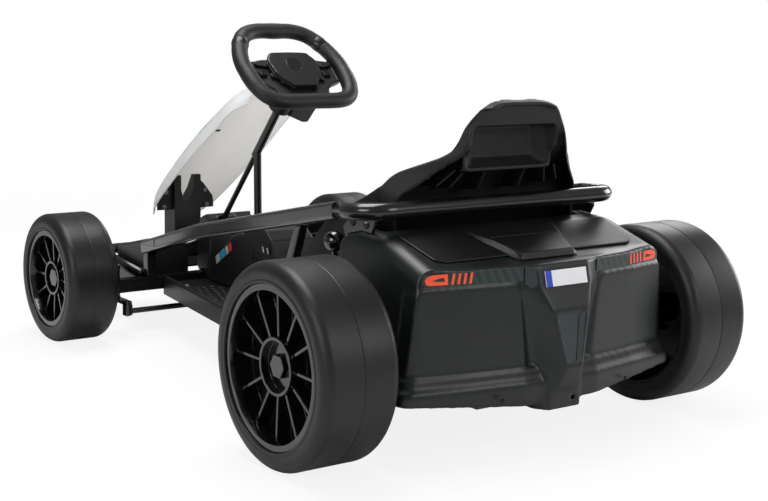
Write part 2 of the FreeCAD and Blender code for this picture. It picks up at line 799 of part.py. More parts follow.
pieces["rear_hoop"] = [rear_hoop()]


def rail_strut():
    """The slanting leg from the tray's lip up to the rail."""
    top = vec(*rail_line[3])
    low = vec(top.x + strut_run, seat_half + 22.0, tray_floor_z + tray_lip_height + seat_gap)
    high = top + vec(3.0, -4.0, -12.0)
    half_x = vec(strut_width / 2, 0, 0)
    ends = []
    for centre, inward in ((low, strut_thickness / 2 + strut_foot_room), (high, strut_thickness / 2)):
        inner = vec(0, -inward, 0)
        outer = vec(0, strut_thickness / 2, 0)
        corners = [centre - half_x + inner, centre + half_x + inner, centre + half_x + outer,
                   centre - half_x + outer]
        ends.append(Part.makePolygon(corners + corners[:1]))
    return straight_loft(ends)


pieces["rail_struts"] = both_sides(rail_strut().cut(left_rail))


def hoop_bracket():
    """The plate that hangs from the hoop to the housing's shoulder."""
    outline = [(44.0, bracket_bottom_z), (84.0, bracket_bottom_z), (96.0, 300.0), (78.0, 319.0), (20.0, 320.5),
               (20.0, 312.0)]
    return side_prism(outline, bracket_y, bracket_y + bracket_plate)


# Seat back: half lines from the top down to the foot, as (x, y, z): its open rear edge and its flared rim
seat_rear_edge = ((-44.0, 0.0, 479.0), (-44.0, 40.0, 478.0), (-46.0, 67.0, 467.0), (-40.0, 80.0, 447.0),
                  (-35.0, 90.0, 427.0), (-29.0, 99.0, 408.0), (-19.0, 109.0, 398.0), (-3.0, 129.0, 381.0),
                  (10.0, 148.0, 364.0), (21.0, seat_half - 18, 349.0), (28.0, seat_half - 14, 300.0),
                  (34.0, seat_half - 14, 245.0), (40.0, seat_half - 14, seat_bottom_z))
seat_rim = ((-30.0, 0.0, 483.0), (-30.0, 40.0, 482.0), (-34.0, 68.0, 473.0), (-28.0, 86.0, 454.0),
            (-24.0, 98.0, 434.0), (-18.0, 106.0, 414.0), (-6.0, 121.0, 403.0), (14.0, 143.0, 392.0),
            (36.0, 165.0, 379.0), (46.0, seat_half - 3, 362.0), (60.0, seat_half, 300.0),
            (70.0, seat_half, 245.0), (80.0, seat_half, seat_bottom_z))
# The line of the back and pan in the middle of the skin, and the wing's top edge, as (x, z)
seat_back_line = ((-31.0, 490.0), (-34.0, 473.0), (-28.0, 454.0), (-24.0, 434.0), (-18.0, 414.0), (-6.0, 403.0),
                  (14.0, 392.0), (36.0, 379.0), (46.0, 362.0), (60.0, 300.0), (85.0, seat_pan_z + 16),
                  (105.0, seat_pan_z))
seat_wing_line = ((46.0, 362.0), (100.0, 335.0), (176.0, 297.0), (246.0, 236.0), (326.0, 216.0))


def whole_line(half):
    """A line of the back from its left foot over the top to its right foot."""
    left = [vec(*point) for point in half]
    return list(reversed(left)) + [vec(p.x, -p.y, p.z) for p in left[1:]]


def inset_line(line, amount):
    """The same line, moved inward across its own run."""
    moved = []
    last = len(line) - 1
    for number, point in enumerate(line):
        before = line[max(number - 1, 0)]
        after = line[min(number + 1, last)]
        run = vec(0, after.y - before.y, after.z - before.z)
        if number in (0, last):
            run = vec(0, 0, after.z - before.z)
        run.normalize()
        moved.append(point + vec(0, -run.z, run.y) * amount)
    return moved


def line_places(line):
    """How far along the line each point lies, from 0 to 1."""
    reached = [0.0]
    for start, end in zip(line, line[1:]):
        reached.append(reached[-1] + (end - start).Length)
    return [value / reached[-1] for value in reached]


def curve_through(points):
    curve = Part.BSplineCurve()
    curve.interpolate(Points=points, Parameters=line_places(points))
    return curve.toShape()


def seat_ring():
    """The wall of the back, from its open rear edge out to the rim."""
    outer = [whole_line(seat_rear_edge), whole_line(seat_rim)]
    inner = [inset_line(line, seat_wall) for line in outer]
    around = outer + list(reversed(inner))
    curves = [curve_through(line) for line in around]
    faces = [Part.makeRuledSurface(a, b) for a, b in zip(curves, curves[1:] + curves[:1])]
    for end in (0, -1):
        faces.append(face_of([line[end] for line in around]))
    shell = Part.makeShell(faces)
    shell.sewShape()
    return Part.Solid(shell.Shells[0]).common(box((-100, 200), (-seat_half, seat_half), (0, 600)))


def seat_tub():
    """The wings and the pan in front of the back, as one open tub."""
    points = [vec(x, -seat_half, z) for x, z in seat_wing_line]
    low = [points[-1], vec(338, -seat_half, 204), vec(324, -seat_half, seat_bottom_z), vec(60, -seat_half, seat_bottom_z),
           vec(60, -seat_half, 330), points[0]]
    edges = [curve_through(points)] + [Part.LineSegment(a, b).toShape() for a, b in zip(low, low[1:])]
    outer = Part.Face(Part.Wire(edges)).extrude(vec(0, 2 * seat_half, 0))
    inner_half = seat_half - seat_wall
    room = [(x + seat_skin / 2, z) for x, z in seat_back_line[-4:]]
    room += [(400.0, seat_pan_z), (400.0, 500.0), (20.0, 500.0)]
    tub = outer.cut(side_prism(room, -inner_half, inner_half, [0, 0, 30.0, 20.0, 0, 0, 0]))
    under = [(70.0, seat_bottom_z - 1), (70.0, 230.0), (86.0, seat_pan_z - seat_skin), (316.0, seat_pan_z - seat_skin),
             (316.0, seat_bottom_z - 1)]
    tub = tub.cut(side_prism(under, -inner_half, inner_half))
    plan = whole([(0.0, seat_half), (290.0, seat_half), (345.0, seat_half - 28)])
    return tub.common(plan_prism(plan, 100, 500, both_ways([0, 60.0, 20.0])))


def seat_skin_solid():
    """The skin across the back, which is the sitter's side of the shell."""
    half = seat_skin / 2
    front = [(x + half, z) for x, z in seat_back_line]
    behind = [(x - half, z) for x, z in reversed(seat_back_line)]
    slab = side_prism(front + behind, -seat_half, seat_half)
    edge = curve_through(inset_line(whole_line(seat_rim), seat_wall / 2))
    points = [vec(-200, p.y, p.z) for p in edge.discretize(Number=seat_line_points)]
    return slab.common(face_of(points).extrude(vec(600, 0, 0)))


def seat_window():
    """The headrest's pocket as seen from behind: its outer form and its hollow."""
    def block(grown, rear_x, front_x):
        rings = []
        for x, (half, low, high) in ((rear_x, seat_window_mouth), (front_x, seat_window_floor)):
            points = [vec(x, y, z) for y, z in whole_rear([(half + grown, low - grown), (half + grown, high + grown)])]
            rings.append(loop_of(points, [10.0 + grown] * 4))
        return straight_loft(rings)

    def tube_of(grown, rear_x):
        outline = whole_rear([(half + grown, low - grown), (half + grown, high + grown)])
        return rear_prism(outline, rear_x, seat_window_x + 0.5, [10.0 + grown] * 4)

    half, low, high = seat_window_mouth
    pad = fused(block(seat_skin, seat_window_x, seat_window_floor_x + seat_skin), tube_of(seat_skin, seat_window_rear_x))
    hollow = block(0.0, seat_window_x, seat_window_floor_x)
    mouth = tube_of(0.0, seat_window_rear_x - 40)
    return pad, [hollow, mouth]


def seat_ribs():
    """The shelf under the window and the ribs that run down from it."""
    half, low, _ = seat_window_mouth
    shelf = box((seat_window_x, seat_window_x + 16), (-half - 4, half + 4), (low - 5, low - 1))
    ribs = [shelf]
    fall = 32.0
    profile = [(16.0, low - 2), (seat_window_x, low - 2), (6.0, low - 2 - fall), (50.0, low - 6 - fall),
               (40.0, low - 14)]
    for high_y, low_y in seat_rib_places:
        rib = side_prism(profile, high_y - seat_rib_half, high_y + seat_rib_half)
        lean = math.degrees(math.atan2(low_y - high_y, fall))
        rib.rotate(vec(0, high_y, low - 2), vec(1, 0, 0), lean)
        ribs += both_sides(rib)
    return ribs


def seat():
    """A bucket of one skin: a bell-shaped back that is open behind, wings and pan."""
    pad, hollows = seat_window()
    back = fused(seat_ring(), seat_skin_solid(), pad).cut(hollows)
    return fused(back, seat_tub(), *seat_ribs())


pieces["seat"] = [seat()]


def seat_supports():
    """Two cross stands between the tray and the pan."""
    stands = []
    for x in (120.0, 270.0):
        top = seat_pan_z - seat_skin - seat_gap
        leg = box((x, x + 22), (80, 84), (tray_floor_z + seat_gap, top))
        foot = box((x, x + 22), (-84, 84), (top - 4, top))
        stands.append(fused(leg, mirrored(leg), foot))
    return stands


pieces["seat_supports"] = seat_supports()


# The housing's back in plan, on its left half: the shoulder corner, the bend and the middle
back_corner_x = -96.5
back_bend = (-116.5, 150.0)
back_middle = (-130.0, 66.0)
back_corner_radius = 24.0
shoulder_round = 24.0
# Its top from the back to the front, as (x, z), and how its sides lean in above the skirt
housing_top = ((-140.0, back_top_z), (-112.0, back_top_z), (-96.0, 271.0), (-10.0, 299.0), (50.0, housing_top_z),
               (84.0, 294.0), (112.0, 262.0))
side_lean = 16.0 / 129.0


def back_plan(outset, front_x):
    """Half of the housing's plan from a front line back, moved out by the outset."""
    side_y = housing_half + outset
    return [(front_x, side_y), (back_corner_x - outset, side_y), (back_bend[0] - outset, back_bend[1]),
            (back_middle[0] - outset, back_middle[1])]


def housing_arch(x, top, inset):
    """A section across the housing, with rounded shoulders."""
    top_half = housing_half - (top - skirt_top_z) * side_lean
    half = [(60.0, housing_bottom_z + 10 - inset), (housing_half - inset, 92.0 - inset), (housing_half - inset, skirt_top_z),
            (top_half - inset, top - inset)]
    points = [vec(x, y, z) for y, z in whole_rear(half)]
    return loop_of(points, both_ways([0, 8.0, 0, shoulder_round - inset]))


def housing_body(inset):
    """The housing without its wall: arches from back to front, cut to its plan and round the seat."""
    arches = [housing_arch(x, z, inset) for x, z in housing_top]
    front = [(housing_front_x - inset, 198.0 - inset), (66.0, housing_half - inset)]
    plan = whole(front + back_plan(-inset, 0.0)[1:])
    radii = both_ways([10.0, 20.0, back_corner_radius, 200.0, 0])
    bay_half = seat_half + bay_room + inset
    bay = box((housing_bay_x - inset, 300.0), (-bay_half, bay_half), (0, 400.0))
    return straight_loft(arches).common(plan_prism(plan, 0, 400, radii)).cut(bay)


def skirt():
    """The ledge round the foot of the back, which steps out twice."""
    levels = ((skirt_top_z + 8, 0.0), (skirt_top_z + 2, 7.0), (skirt_top_z - 8, 9.0), (skirt_top_z - 14, 14.0),
              (skirt_top_z - 22, 15.0), (housing_bottom_z, 12.0))
    sections = []
    for z, outset in levels:
        points = [vec(x, y, z) for x, y in whole(back_plan(outset, skirt_front_x))]
        sections.append(loop_of(points, both_ways([0, back_corner_radius, 200.0, 0])))
    foot = whole_rear([(300.0, 160.0), (300.0, 92.0), (236.0, 89.0), (60.0, 73.0)])
    return straight_loft(sections).common(rear_prism(foot, -200, 200))


def back_panels():
    """The two raised panels on the back, from the skirt up to the lamp band."""
    plan = whole(back_plan(back_panel_height, -40.0))
    slab = plan_prism(plan, skirt_top_z - 4, 300, both_ways([0, back_corner_radius, 200.0, 0]))
    outline = [(housing_half + 2, skirt_top_z - 5), (housing_half - 14, lamp_low_z - 3), (74.0, lamp_low_z - 3),
               (56.0, skirt_top_z - 5)]
    panels = []
    for side in (1, -1):
        face = [(side * y, z) for y, z in outline]
        panels.append(slab.common(rear_prism(face, -300, back_corner_x + 22, [0, 10.0, 14.0, 0])))
    return panels


def keel():
    """The spine down the middle of the back: plate panel, neck, wedge and foot."""
    # Level sections: height, half width at its root, half width at its crest, crest's x
    table = ((back_top_z, 66.0, 44.0, -136.0), (236.0, 70.0, 46.0, -144.0), (206.0, 60.0, 34.0, -156.0),
             (123.0, 38.0, 16.0, tail_x), (100.0, 40.0, 21.0, -158.0), (88.0, 42.0, 28.0, tail_foot_x),
             (housing_bottom_z, 42.0, 29.0, tail_foot_x))
    sections = []
    for z, root_half, crest_half, crest_x in table:
        root_x = back_middle[0] + (root_half - back_middle[1]) * 0.1
        corners = [vec(-110, root_half, z), vec(root_x, root_half, z), vec(crest_x, crest_half, z)]
        corners += [vec(p.x, -p.y, p.z) for p in reversed(corners)]
        sections.append(Part.makePolygon(corners + corners[:1]))
    wedge_lean = (table[2][3] - table[3][3]) / (table[2][0] - table[3][0])

    def floor_x(z):
        return tail_x + (z - table[3][0]) * wedge_lean + pocket_depth

    opening = rear_prism(whole_rear([(26.5, 200.0), (11.0, 131.0)]), -200, -140, [4.0] * 4)
    behind = side_prism([(-200, 215), (floor_x(215), 215), (floor_x(120), 120), (-200, 120)], -50, 50)
    return straight_loft(sections).cut(opening.common(behind))


def rear_housing():
    """A moulded housing, open below, with a skirt, two back panels and a keel."""
    body = fused(housing_body(0), skirt(), keel(), *back_panels())
    body = body.cut(housing_body(panel_wall))
    axle_way = rod(axle_radius + 5, vec(0, -300, axle_z), vec(0, 300, axle_z))
    front_gap = box((tray_rear_x - 5, 200), (-300, 300), (0, tray_floor_z + tray_lip_height + seat_gap))
    frame_way = box((-100, 200), (-frame_half - 16, frame_half + 16), (0, tray_floor_z + seat_gap))
    tow_hole = rod(tow_hole_radius, vec(-200, tow_hole_y, tow_hole_z), vec(tow_hole_inner_x, tow_hole_y, tow_hole_z))
    return body.cut(axle_way).cut(front_gap).cut(frame_way).cut(tow_hole)


pieces["rear_housing"] = [rear_housing()]


# The plane of the housing's sloping top
lid_slope = (housing_top[3][1] - housing_top[2][1]) / (housing_top[3][0] - housing_top[2][0])


def top_z(x):
    return housing_top[3][1] + (x - housing_top[3][0]) * lid_slope


def top_slab(outline, low, high, radii):
    """An outline of (x, y) points, laid on the housing's sloping top and made a slab."""
    points = [vec(x, y, top_z(x) + low) for x, y in outline]
    return face_of(points, radii).extrude(vec(0, 0, high - low))


def housing_lid():
    """The lid on the sloping top, with a raised hatch whose sides are chamfered."""
    panel = whole([(-14.0, 192.0), (-83.0, 184.0), (-91.0, 168.0)])
    base = top_slab(panel, seat_gap, lid_thickness, both_ways([0, 9.0, 0]))
    # Sections of the hatch: x, half width at its foot, rise of its top above the plane
    hatch_table = ((-14.0, 88.0, 6.5), (-60.0, 72.0, 9.0), (-104.0, 55.0, 11.0), (-108.0, 53.0, 3.0))
    sections = []
    for x, half, rise in hatch_table:
        foot = top_z(x) - 12
        top = top_z(x) + rise
        shoulder = top_z(x) + min(lid_thickness, rise - 1)
        corners = [vec(x, half, foot), vec(x, half, shoulder), vec(x, half - hatch_chamfer, top)]
        corners += [vec(x, -p.y, p.z) for p in reversed(corners)]
        sections.append(Part.makePolygon(corners + corners[:1]))
    hatch = straight_loft(sections).cut(housing_body(-seat_gap))
    groove = top_slab(whole([(-50.0, 62.0), (-51.5, 62.0)]), 7.0, 20.0, [0] * 4)
    return fused(base, hatch).cut(groove)


pieces["housing_lid"] = [housing_lid()]
pieces["hoop_brackets"] = both_sides(hoop_bracket().cut(pieces["rear_hoop"][0]).cut(housing_body(-seat_gap)))


def tail_lamp():
    """A thin lamp strip on the band at the top of the back, bent round the shoulder corner."""
    plan = whole(back_plan(seat_gap + lamp_thickness, 0.0))
    radii = both_ways([0, back_corner_radius, 200.0, 0])
    room = plan_prism(whole(back_plan(seat_gap, 0.0)), 0, 300, radii)
    strip = plan_prism(plan, 0, 300, radii).cut(room)
    return strip.common(rear_prism([(68.0, lamp_low_z), (68.0, lamp_high_z + 1), (216.0, lamp_high_z - 2),
                                    (221.0, lamp_low_z + 6), (216.0, lamp_low_z)], -200, back_corner_x + 10,
                                   [0, 0, 5.0, 5.0, 5.0]))


lamp = tail_lamp()
pieces["tail_lamps"] = both_sides(lamp.cut(housing_body(0)))


def number_plate():
    """A plain plate that leans with the panel behind it."""
    width, height, thick = plate_size
    low = vec(-144.0 - seat_gap - 0.1, -width / 2, 237.0)
    lean = vec(7.0, 0, 27.0).normalize()
    outward = vec(-lean.z, 0, lean.x)
    corners = [low, low + vec(0, width, 0), low + vec(0, width, 0) + lean * height, low + lean * height]
    return face_of(corners).extrude(outward * thick)


pieces["number_plate"] = [number_plate()]

axle_end_y = rear_wheel["outer_y"] - axle_end_depth
pieces["rear_axle"] = [rod(axle_radius, vec(0, -axle_end_y, axle_z), vec(0, axle_end_y, axle_z))]


def axle_carriers():
    """Upright plates on the frame's tubes that hold the axle."""
    plate = box((-carrier_half, carrier_half), (frame_half - carrier_thickness / 2, frame_half + carrier_thickness / 2),
                (frame_top_z + seat_gap, axle_z + carrier_half))
    plate = plate.cut(rod(axle_radius + seat_gap, vec(0, 0, axle_z), vec(0, 200, axle_z)))
    return both_sides(plate)


pieces["axle_carriers"] = axle_carriers()

motor_outer_y = housing_half - motor_box["y"][1]
motor_heights = (axle_z + motor_box["z"][0], axle_z + motor_box["z"][1])
motor = box(motor_box["x"], (motor_box["y"][0], motor_outer_y), motor_heights)
motor = motor.cut(rod(axle_radius + seat_gap, vec(0, 0, axle_z), vec(0, 300, axle_z)))
pieces["drive_motors"] = both_sides(motor)
battery_y = battery_box["y"]
battery_bottom_z = axle_z + carrier_half + seat_gap
pieces["battery"] = [box(battery_box["x"], (-battery_y, battery_y),
                         (battery_bottom_z, battery_bottom_z + battery_box["height"]))]


pedal_x = wheelbase + 32.0
pedal_y = -80.0


def accelerator_pedal():
    """A tilted pad on a short arm."""
    pad = box((0, 5), (-26, 26), (0, 52))
    arm = box((5, 13), (-8, 8), (-30, 30))
    pedal = fused(pad, arm)
    pedal.rotate(vec(0, 0, 0), vec(0, 1, 0), 20)
    pedal.translate(vec(pedal_x, pedal_y, nose_top(pedal_x) - 13.0))
    near = pedal_x - 60
    far = pedal_x + 100
    below = [(near, 0), (near, nose_top(near) + seat_gap), (far, nose_top(far) + seat_gap), (far, 0)]
    return pedal.cut(side_prism(below, -nose_half, nose_half))


pieces["accelerator_pedal"] = [accelerator_pedal()]


def hand_lever():
    """A lever with a ball on top, beside the seat."""
    base = vec(lever_ball.x, lever_base_y, tray_floor_z + seat_gap)
    ball = Part.makeSphere(lever_ball_radius, lever_ball)
    boot = Part.makeCone(13, 7, 26, base)
    return fused(ball, rod(4, base, lever_ball), boot)


lever_ball = vec(129.0, seat_half + 18.0, 273.0)
lever_base_y = seat_half + 9.0
lever_ball_radius = 15.5
pieces["hand_lever"] = [hand_lever()]


def shaft_cover():
    """The hump that the steering shaft goes down into, in front of the console."""
    outline = [(wheelbase - 28, console_base_z), (wheelbase - 36, 170.0), (wheelbase - 30, 204.0),
               (wheelbase - 14, 212.0), (wheelbase + 6, 204.0), (nose_rear_x - seat_gap, 172.0),
               (nose_rear_x - seat_gap, 104.0), (wheelbase - 14, 104.0), (wheelbase - 14, console_base_z)]
    shell = side_prism(outline, -32, 32)
    way = rod(shaft_radius + 5, shaft_joint, crank_centre)
    return shell.cut(way)


pieces["shaft_cover"] = [shaft_cover()]


def fairing_bracket():
    """The plate across the post, whose ears reach the fairing's walls."""
    rear = post_rear_x + bracket_set_in
    ears = []
    for side in (1, -1):
        outline = [(side * y, fairing_foot.z + up) for y, up in ear_outline]
        ears.append(rear_prism(outline, rear, rear + bracket_thickness))
    post_slot = box((rear - 1, rear + bracket_thickness + 1),
                    (-post_half - seat_gap, post_half + seat_gap), (0, 400))
    strap = box((rear, rear + bracket_thickness), (-post_half - 8, post_half + 8),
                (fairing_foot.z + 13, fairing_foot.z + 25))
    ears = [ear.cut(post_slot) for ear in ears]
    return fused(strap, *ears).cut(fairing(seat_gap))


bracket_set_in = 8.0
bracket_thickness = 4.0
# One ear, from the post outward: distance from the middle, height above the fairing's foot
ear_outline = ((post_half, 13.0), (62.0, 13.0), (62.2, 23.0), (60.0, 36.0), (40.0, 62.0), (post_half, 72.0))
bracket_room = box((post_rear_x + bracket_set_in - seat_gap, post_rear_x + bracket_set_in + bracket_thickness + seat_gap),
                   (-post_half - 1, post_half + 1), (fairing_foot.z + 13 - seat_gap, fairing_foot.z + 25 + seat_gap))
pieces["fairing_post"] = [pieces["fairing_post"][0].cut(bracket_room)]
pieces["fairing_bracket"] = [fairing_bracket()]

# Export: the origin goes on the floor below the middle of the kart's length
middle_x = (bumper_front_x + tail_x) / 2
for node, solids in pieces.items():
    parts = []
    for shape in solids:
        parts += shape.Solids
    shape = parts[0] if len(parts) == 1 else Part.makeCompound(parts)
    shape.translate(vec(-middle_x, 0, 0))
    shape.exportStep(f"parts/{node}.step")
    print(node, len(parts), round(shape.Volume / 1000, 1), shape.isValid())
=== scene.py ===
import bpy
import bmesh
import json
import math
from mathutils import Matrix, Vector


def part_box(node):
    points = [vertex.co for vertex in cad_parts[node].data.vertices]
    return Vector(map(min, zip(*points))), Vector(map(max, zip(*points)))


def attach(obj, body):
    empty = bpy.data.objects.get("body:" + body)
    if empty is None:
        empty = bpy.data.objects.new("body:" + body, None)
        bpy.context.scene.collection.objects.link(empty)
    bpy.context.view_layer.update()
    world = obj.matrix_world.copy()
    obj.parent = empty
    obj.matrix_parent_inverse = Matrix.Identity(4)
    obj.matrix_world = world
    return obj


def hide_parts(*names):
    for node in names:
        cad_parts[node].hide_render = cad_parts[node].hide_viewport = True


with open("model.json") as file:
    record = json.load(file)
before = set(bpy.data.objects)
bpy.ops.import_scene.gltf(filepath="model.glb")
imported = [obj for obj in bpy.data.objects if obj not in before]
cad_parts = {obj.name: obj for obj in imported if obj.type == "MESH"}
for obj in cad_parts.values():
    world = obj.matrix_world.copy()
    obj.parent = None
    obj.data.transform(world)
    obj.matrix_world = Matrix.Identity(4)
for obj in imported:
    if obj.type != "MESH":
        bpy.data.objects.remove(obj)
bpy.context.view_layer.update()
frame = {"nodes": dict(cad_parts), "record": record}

# The kart stands in a white studio. The camera is low behind its left rear wheel, with a long lens,
# and the floor and the backdrop are one white sweep that keeps the soft shadow under the tyres.
camera_place = Vector((-1.97191, 1.32744, 0.60624))
camera_yaw = math.radians(-36.24)
camera_pitch = math.radians(9.76)
camera_roll = math.radians(1.28)
camera_lens = 66.41
sensor_wide = 36.0


def new_object(name, data):
    """A new object in the scene, at the origin."""
    made = bpy.data.objects.new(name, data)
    bpy.context.scene.collection.objects.link(made)
    return made


camera_data = bpy.data.cameras.new("studio_camera")
camera_data.lens = camera_lens
camera_data.sensor_width = sensor_wide
camera = new_object("studio_camera", camera_data)
ahead = Vector((math.cos(camera_pitch) * math.cos(camera_yaw),
                math.cos(camera_pitch) * math.sin(camera_yaw),
                -math.sin(camera_pitch)))
rightward = ahead.cross(Vector((0, 0, 1))).normalized()
upward = rightward.cross(ahead)
rolled_right = rightward * math.cos(camera_roll) + upward * math.sin(camera_roll)
rolled_up = upward * math.cos(camera_roll) - rightward * math.sin(camera_roll)
turn = Matrix((rolled_right, rolled_up, -ahead)).transposed()
camera.matrix_world = Matrix.Translation(camera_place) @ turn.to_4x4()
bpy.context.scene.camera = camera
bpy.context.scene.view_settings.view_transform = "Standard"

floor_reach = 30
floor_mesh = bpy.data.meshes.new("studio_floor")
floor_corners = [(a * floor_reach, b * floor_reach, 0) for a, b in ((-1, -1), (1, -1), (1, 1), (-1, 1))]
floor_mesh.from_pydata(floor_corners, [], [(0, 1, 2, 3)])
studio_floor = new_object("studio_floor", floor_mesh)


def math_node(nodes, operation, second=None):
    """A Math node with its operation and, where given, its second value."""
    node = nodes.new("ShaderNodeMath")
    node.operation = operation
    if second is not None:
        node.inputs[1].default_value = second
    return node


def set_inputs(node, values):
    """Gives a node's inputs their values by name."""
    for label, value in values.items():
        node.inputs[label].default_value = value


def link(source, made, target, wanted):
    """Leads one node's output into another's input, each by its name or number."""
    target.id_data.links.new(source.outputs[made], target.inputs[wanted])


floor_paint = bpy.data.materials.new("studio_white")
floor_paint.use_nodes = True
nodes = floor_paint.node_tree.nodes
set_inputs(nodes["Principled BSDF"], {"Base Color": (0.84, 0.84, 0.84, 1), "Roughness": 0.9})
paper_glow = nodes.new("ShaderNodeEmission")
paper_glow.inputs["Color"].default_value = (1, 1, 1, 1)
paper_ray = nodes.new("ShaderNodeLightPath")
# Near the kart the paper keeps a share of its own light and shadow, which fades out to plain white:
# the distances from the middle between which it fades, and the white's share near the kart
shadow_kept_to = 1.1
plain_white_from = 2.6
white_share_near = 0.86
paper_place = nodes.new("ShaderNodeTexCoord")
paper_reach = nodes.new("ShaderNodeVectorMath")
paper_reach.operation = "LENGTH"
paper_fade = nodes.new("ShaderNodeMapRange")
set_inputs(paper_fade, {"From Min": shadow_kept_to, "From Max": plain_white_from,
                        "To Min": white_share_near, "To Max": 1.0})
paper_share = math_node(nodes, "MULTIPLY")
paper_mix = nodes.new("ShaderNodeMixShader")
link(paper_place, "Object", paper_reach, 0)
link(paper_reach, "Value", paper_fade, "Value")
link(paper_ray, "Is Camera Ray", paper_share, 0)
link(paper_fade, "Result", paper_share, 1)
link(paper_share, 0, paper_mix, "Fac")
link(nodes["Principled BSDF"], 0, paper_mix, 1)
link(paper_glow, 0, paper_mix, 2)
link(paper_mix, 0, nodes["Material Output"], "Surface")
floor_mesh.materials.append(floor_paint)

# The room behind and around: plain white to the camera and through glass, a dim light to the kart.
# Gloss shows the white too, by a small share, so that the blacks stay dark
room_light = 0.23
gloss_share = 0.08
studio_air = bpy.data.worlds.new("studio_air")
bpy.context.scene.world = studio_air
studio_air.use_nodes = True
nodes = studio_air.node_tree.nodes
seen_air = nodes.new("ShaderNodeBackground")
seen_air.inputs["Color"].default_value = (1, 1, 1, 1)
set_inputs(nodes["Background"], {"Color": (0.95, 0.97, 1.0, 1), "Strength": room_light})
air_ray = nodes.new("ShaderNodeLightPath")
air_seen = math_node(nodes, "MAXIMUM")
air_gloss = math_node(nodes, "MULTIPLY_ADD", gloss_share)
air_mix = nodes.new("ShaderNodeMixShader")
link(air_ray, "Is Camera Ray", air_seen, 0)
link(air_ray, "Is Transmission Ray", air_seen, 1)
link(air_ray, "Is Glossy Ray", air_gloss, 0)
link(air_seen, 0, air_gloss, 2)
link(air_gloss, 0, air_mix, "Fac")
link(nodes["Background"], 0, air_mix, 1)
link(seen_air, 0, air_mix, 2)
link(air_mix, 0, nodes["World Output"], "Surface")

# Soft boxes: name, place, aim, width, height, watts
soft_boxes = (
    ("overhead", (0.3, 0.2, 2.5), (0.0, 0.0, 0.2), 2.0, 1.2, 62.0),
    ("left_of_camera", (-1.2, 2.6, 1.5), (-0.1, 0.1, 0.2), 1.3, 1.0, 26.0),
    ("behind_tail", (-2.8, -0.9, 1.5), (-0.4, 0.0, 0.2), 1.2, 1.0, 20.0),
    ("ahead_right", (1.6, -2.4, 1.6), (0.2, 0.0, 0.3), 1.4, 1.0, 24.0),
    ("right_fill", (-0.6, -2.6, 0.9), (0.4, 0.0, 0.35), 1.4, 1.0, 34.0),
)
for box_name, place, aim, wide, tall, watts in soft_boxes:
    lamp_data = bpy.data.lights.new(box_name, "AREA")
    lamp_data.shape = "RECTANGLE"
    lamp_data.size = wide
    lamp_data.size_y = tall
    lamp_data.energy = watts
    lamp = new_object(box_name, lamp_data)
    turn = (Vector(aim) - Vector(place)).to_track_quat("-Z", "Y").to_matrix()
    lamp.matrix_world = Matrix.Translation(place) @ turn.to_4x4()


# Tyres: hard moulded plastic rings in satin charcoal, each from a two-part mould whose parting line
# runs round the crown, pushed on the rim. The sidewalls are flat rings inside a soft shoulder.
# The shader group makes the grain and the cloudy sheen of every moulding on the kart.
def moulded_skin_group():
    group = bpy.data.node_groups.new("moulded skin", "ShaderNodeTree")
    for label, kind, value in (("Colour", "NodeSocketColor", (0.02, 0.02, 0.02, 1)),
                               ("Roughness", "NodeSocketFloat", 0.45),
                               ("Grain Scale", "NodeSocketFloat", 900.0),
                               ("Grain Depth", "NodeSocketFloat", 0.0001),
                               ("Cloud", "NodeSocketFloat", 0.2)):
        socket = group.interface.new_socket(label, in_out="INPUT", socket_type=kind)
        socket.default_value = value
    for label, kind in (("Colour", "NodeSocketColor"), ("Roughness", "NodeSocketFloat"),
                        ("Normal", "NodeSocketVector")):
        group.interface.new_socket(label, in_out="OUTPUT", socket_type=kind)
    cloud_scale = 9.0
    cloud_in_roughness = 0.35
    nodes = group.nodes
    given = nodes.new("NodeGroupInput")
    made = nodes.new("NodeGroupOutput")
    place = nodes.new("ShaderNodeTexCoord")
    grain = nodes.new("ShaderNodeTexNoise")
    grain.inputs["Detail"].default_value = 2.0
    link(place, "Object", grain, "Vector")
    link(given, "Grain Scale", grain, "Scale")
    bump = nodes.new("ShaderNodeBump")
    link(grain, "Fac", bump, "Height")
    link(given, "Grain Depth", bump, "Distance")
    link(bump, "Normal", made, "Normal")
    cloud = nodes.new("ShaderNodeTexNoise")
    set_inputs(cloud, {"Scale": cloud_scale, "Detail": 5.0})
    link(place, "Object", cloud, "Vector")
    centred = math_node(nodes, "SUBTRACT", 0.5)
    link(cloud, "Fac", centred, 0)
    spread = math_node(nodes, "MULTIPLY")
    link(centred, 0, spread, 0)
    link(given, "Cloud", spread, 1)
    shade = math_node(nodes, "ADD", 1.0)
    link(spread, 0, shade, 0)
    tint = nodes.new("ShaderNodeVectorMath")
    tint.operation = "SCALE"
    link(given, "Colour", tint, 0)
    link(shade, 0, tint, "Scale")
    link(tint, 0, made, "Colour")
    rough = math_node(nodes, "MULTIPLY_ADD", cloud_in_roughness)
    link(spread, 0, rough, 0)
    link(given, "Roughness", rough, 2)
    link(rough, 0, made, "Roughness")
    return group


moulded_skin = moulded_skin_group()


def moulded(name, colour, roughness, grain_scale, grain_depth, cloud, coat=0.0, shine=0.3, metal=0.0):
    """A plastic, rubber, paint or metal finish with its own grain."""
    material = bpy.data.materials.new(name)
    material.use_nodes = True
    nodes = material.node_tree.nodes
    skin = nodes.new("ShaderNodeGroup")
    skin.node_tree = moulded_skin
    set_inputs(skin, {"Colour": (*colour, 1), "Roughness": roughness, "Grain Scale": grain_scale,
                      "Grain Depth": grain_depth, "Cloud": cloud})
    surface = nodes["Principled BSDF"]
    set_inputs(surface, {"Coat Weight": coat, "Coat Roughness": 0.12, "Specular IOR Level": shine,
                         "Metallic": metal})
    for made, wanted in (("Colour", "Base Color"), ("Roughness", "Roughness"), ("Normal", "Normal")):
        link(skin, made, surface, wanted)
    return material


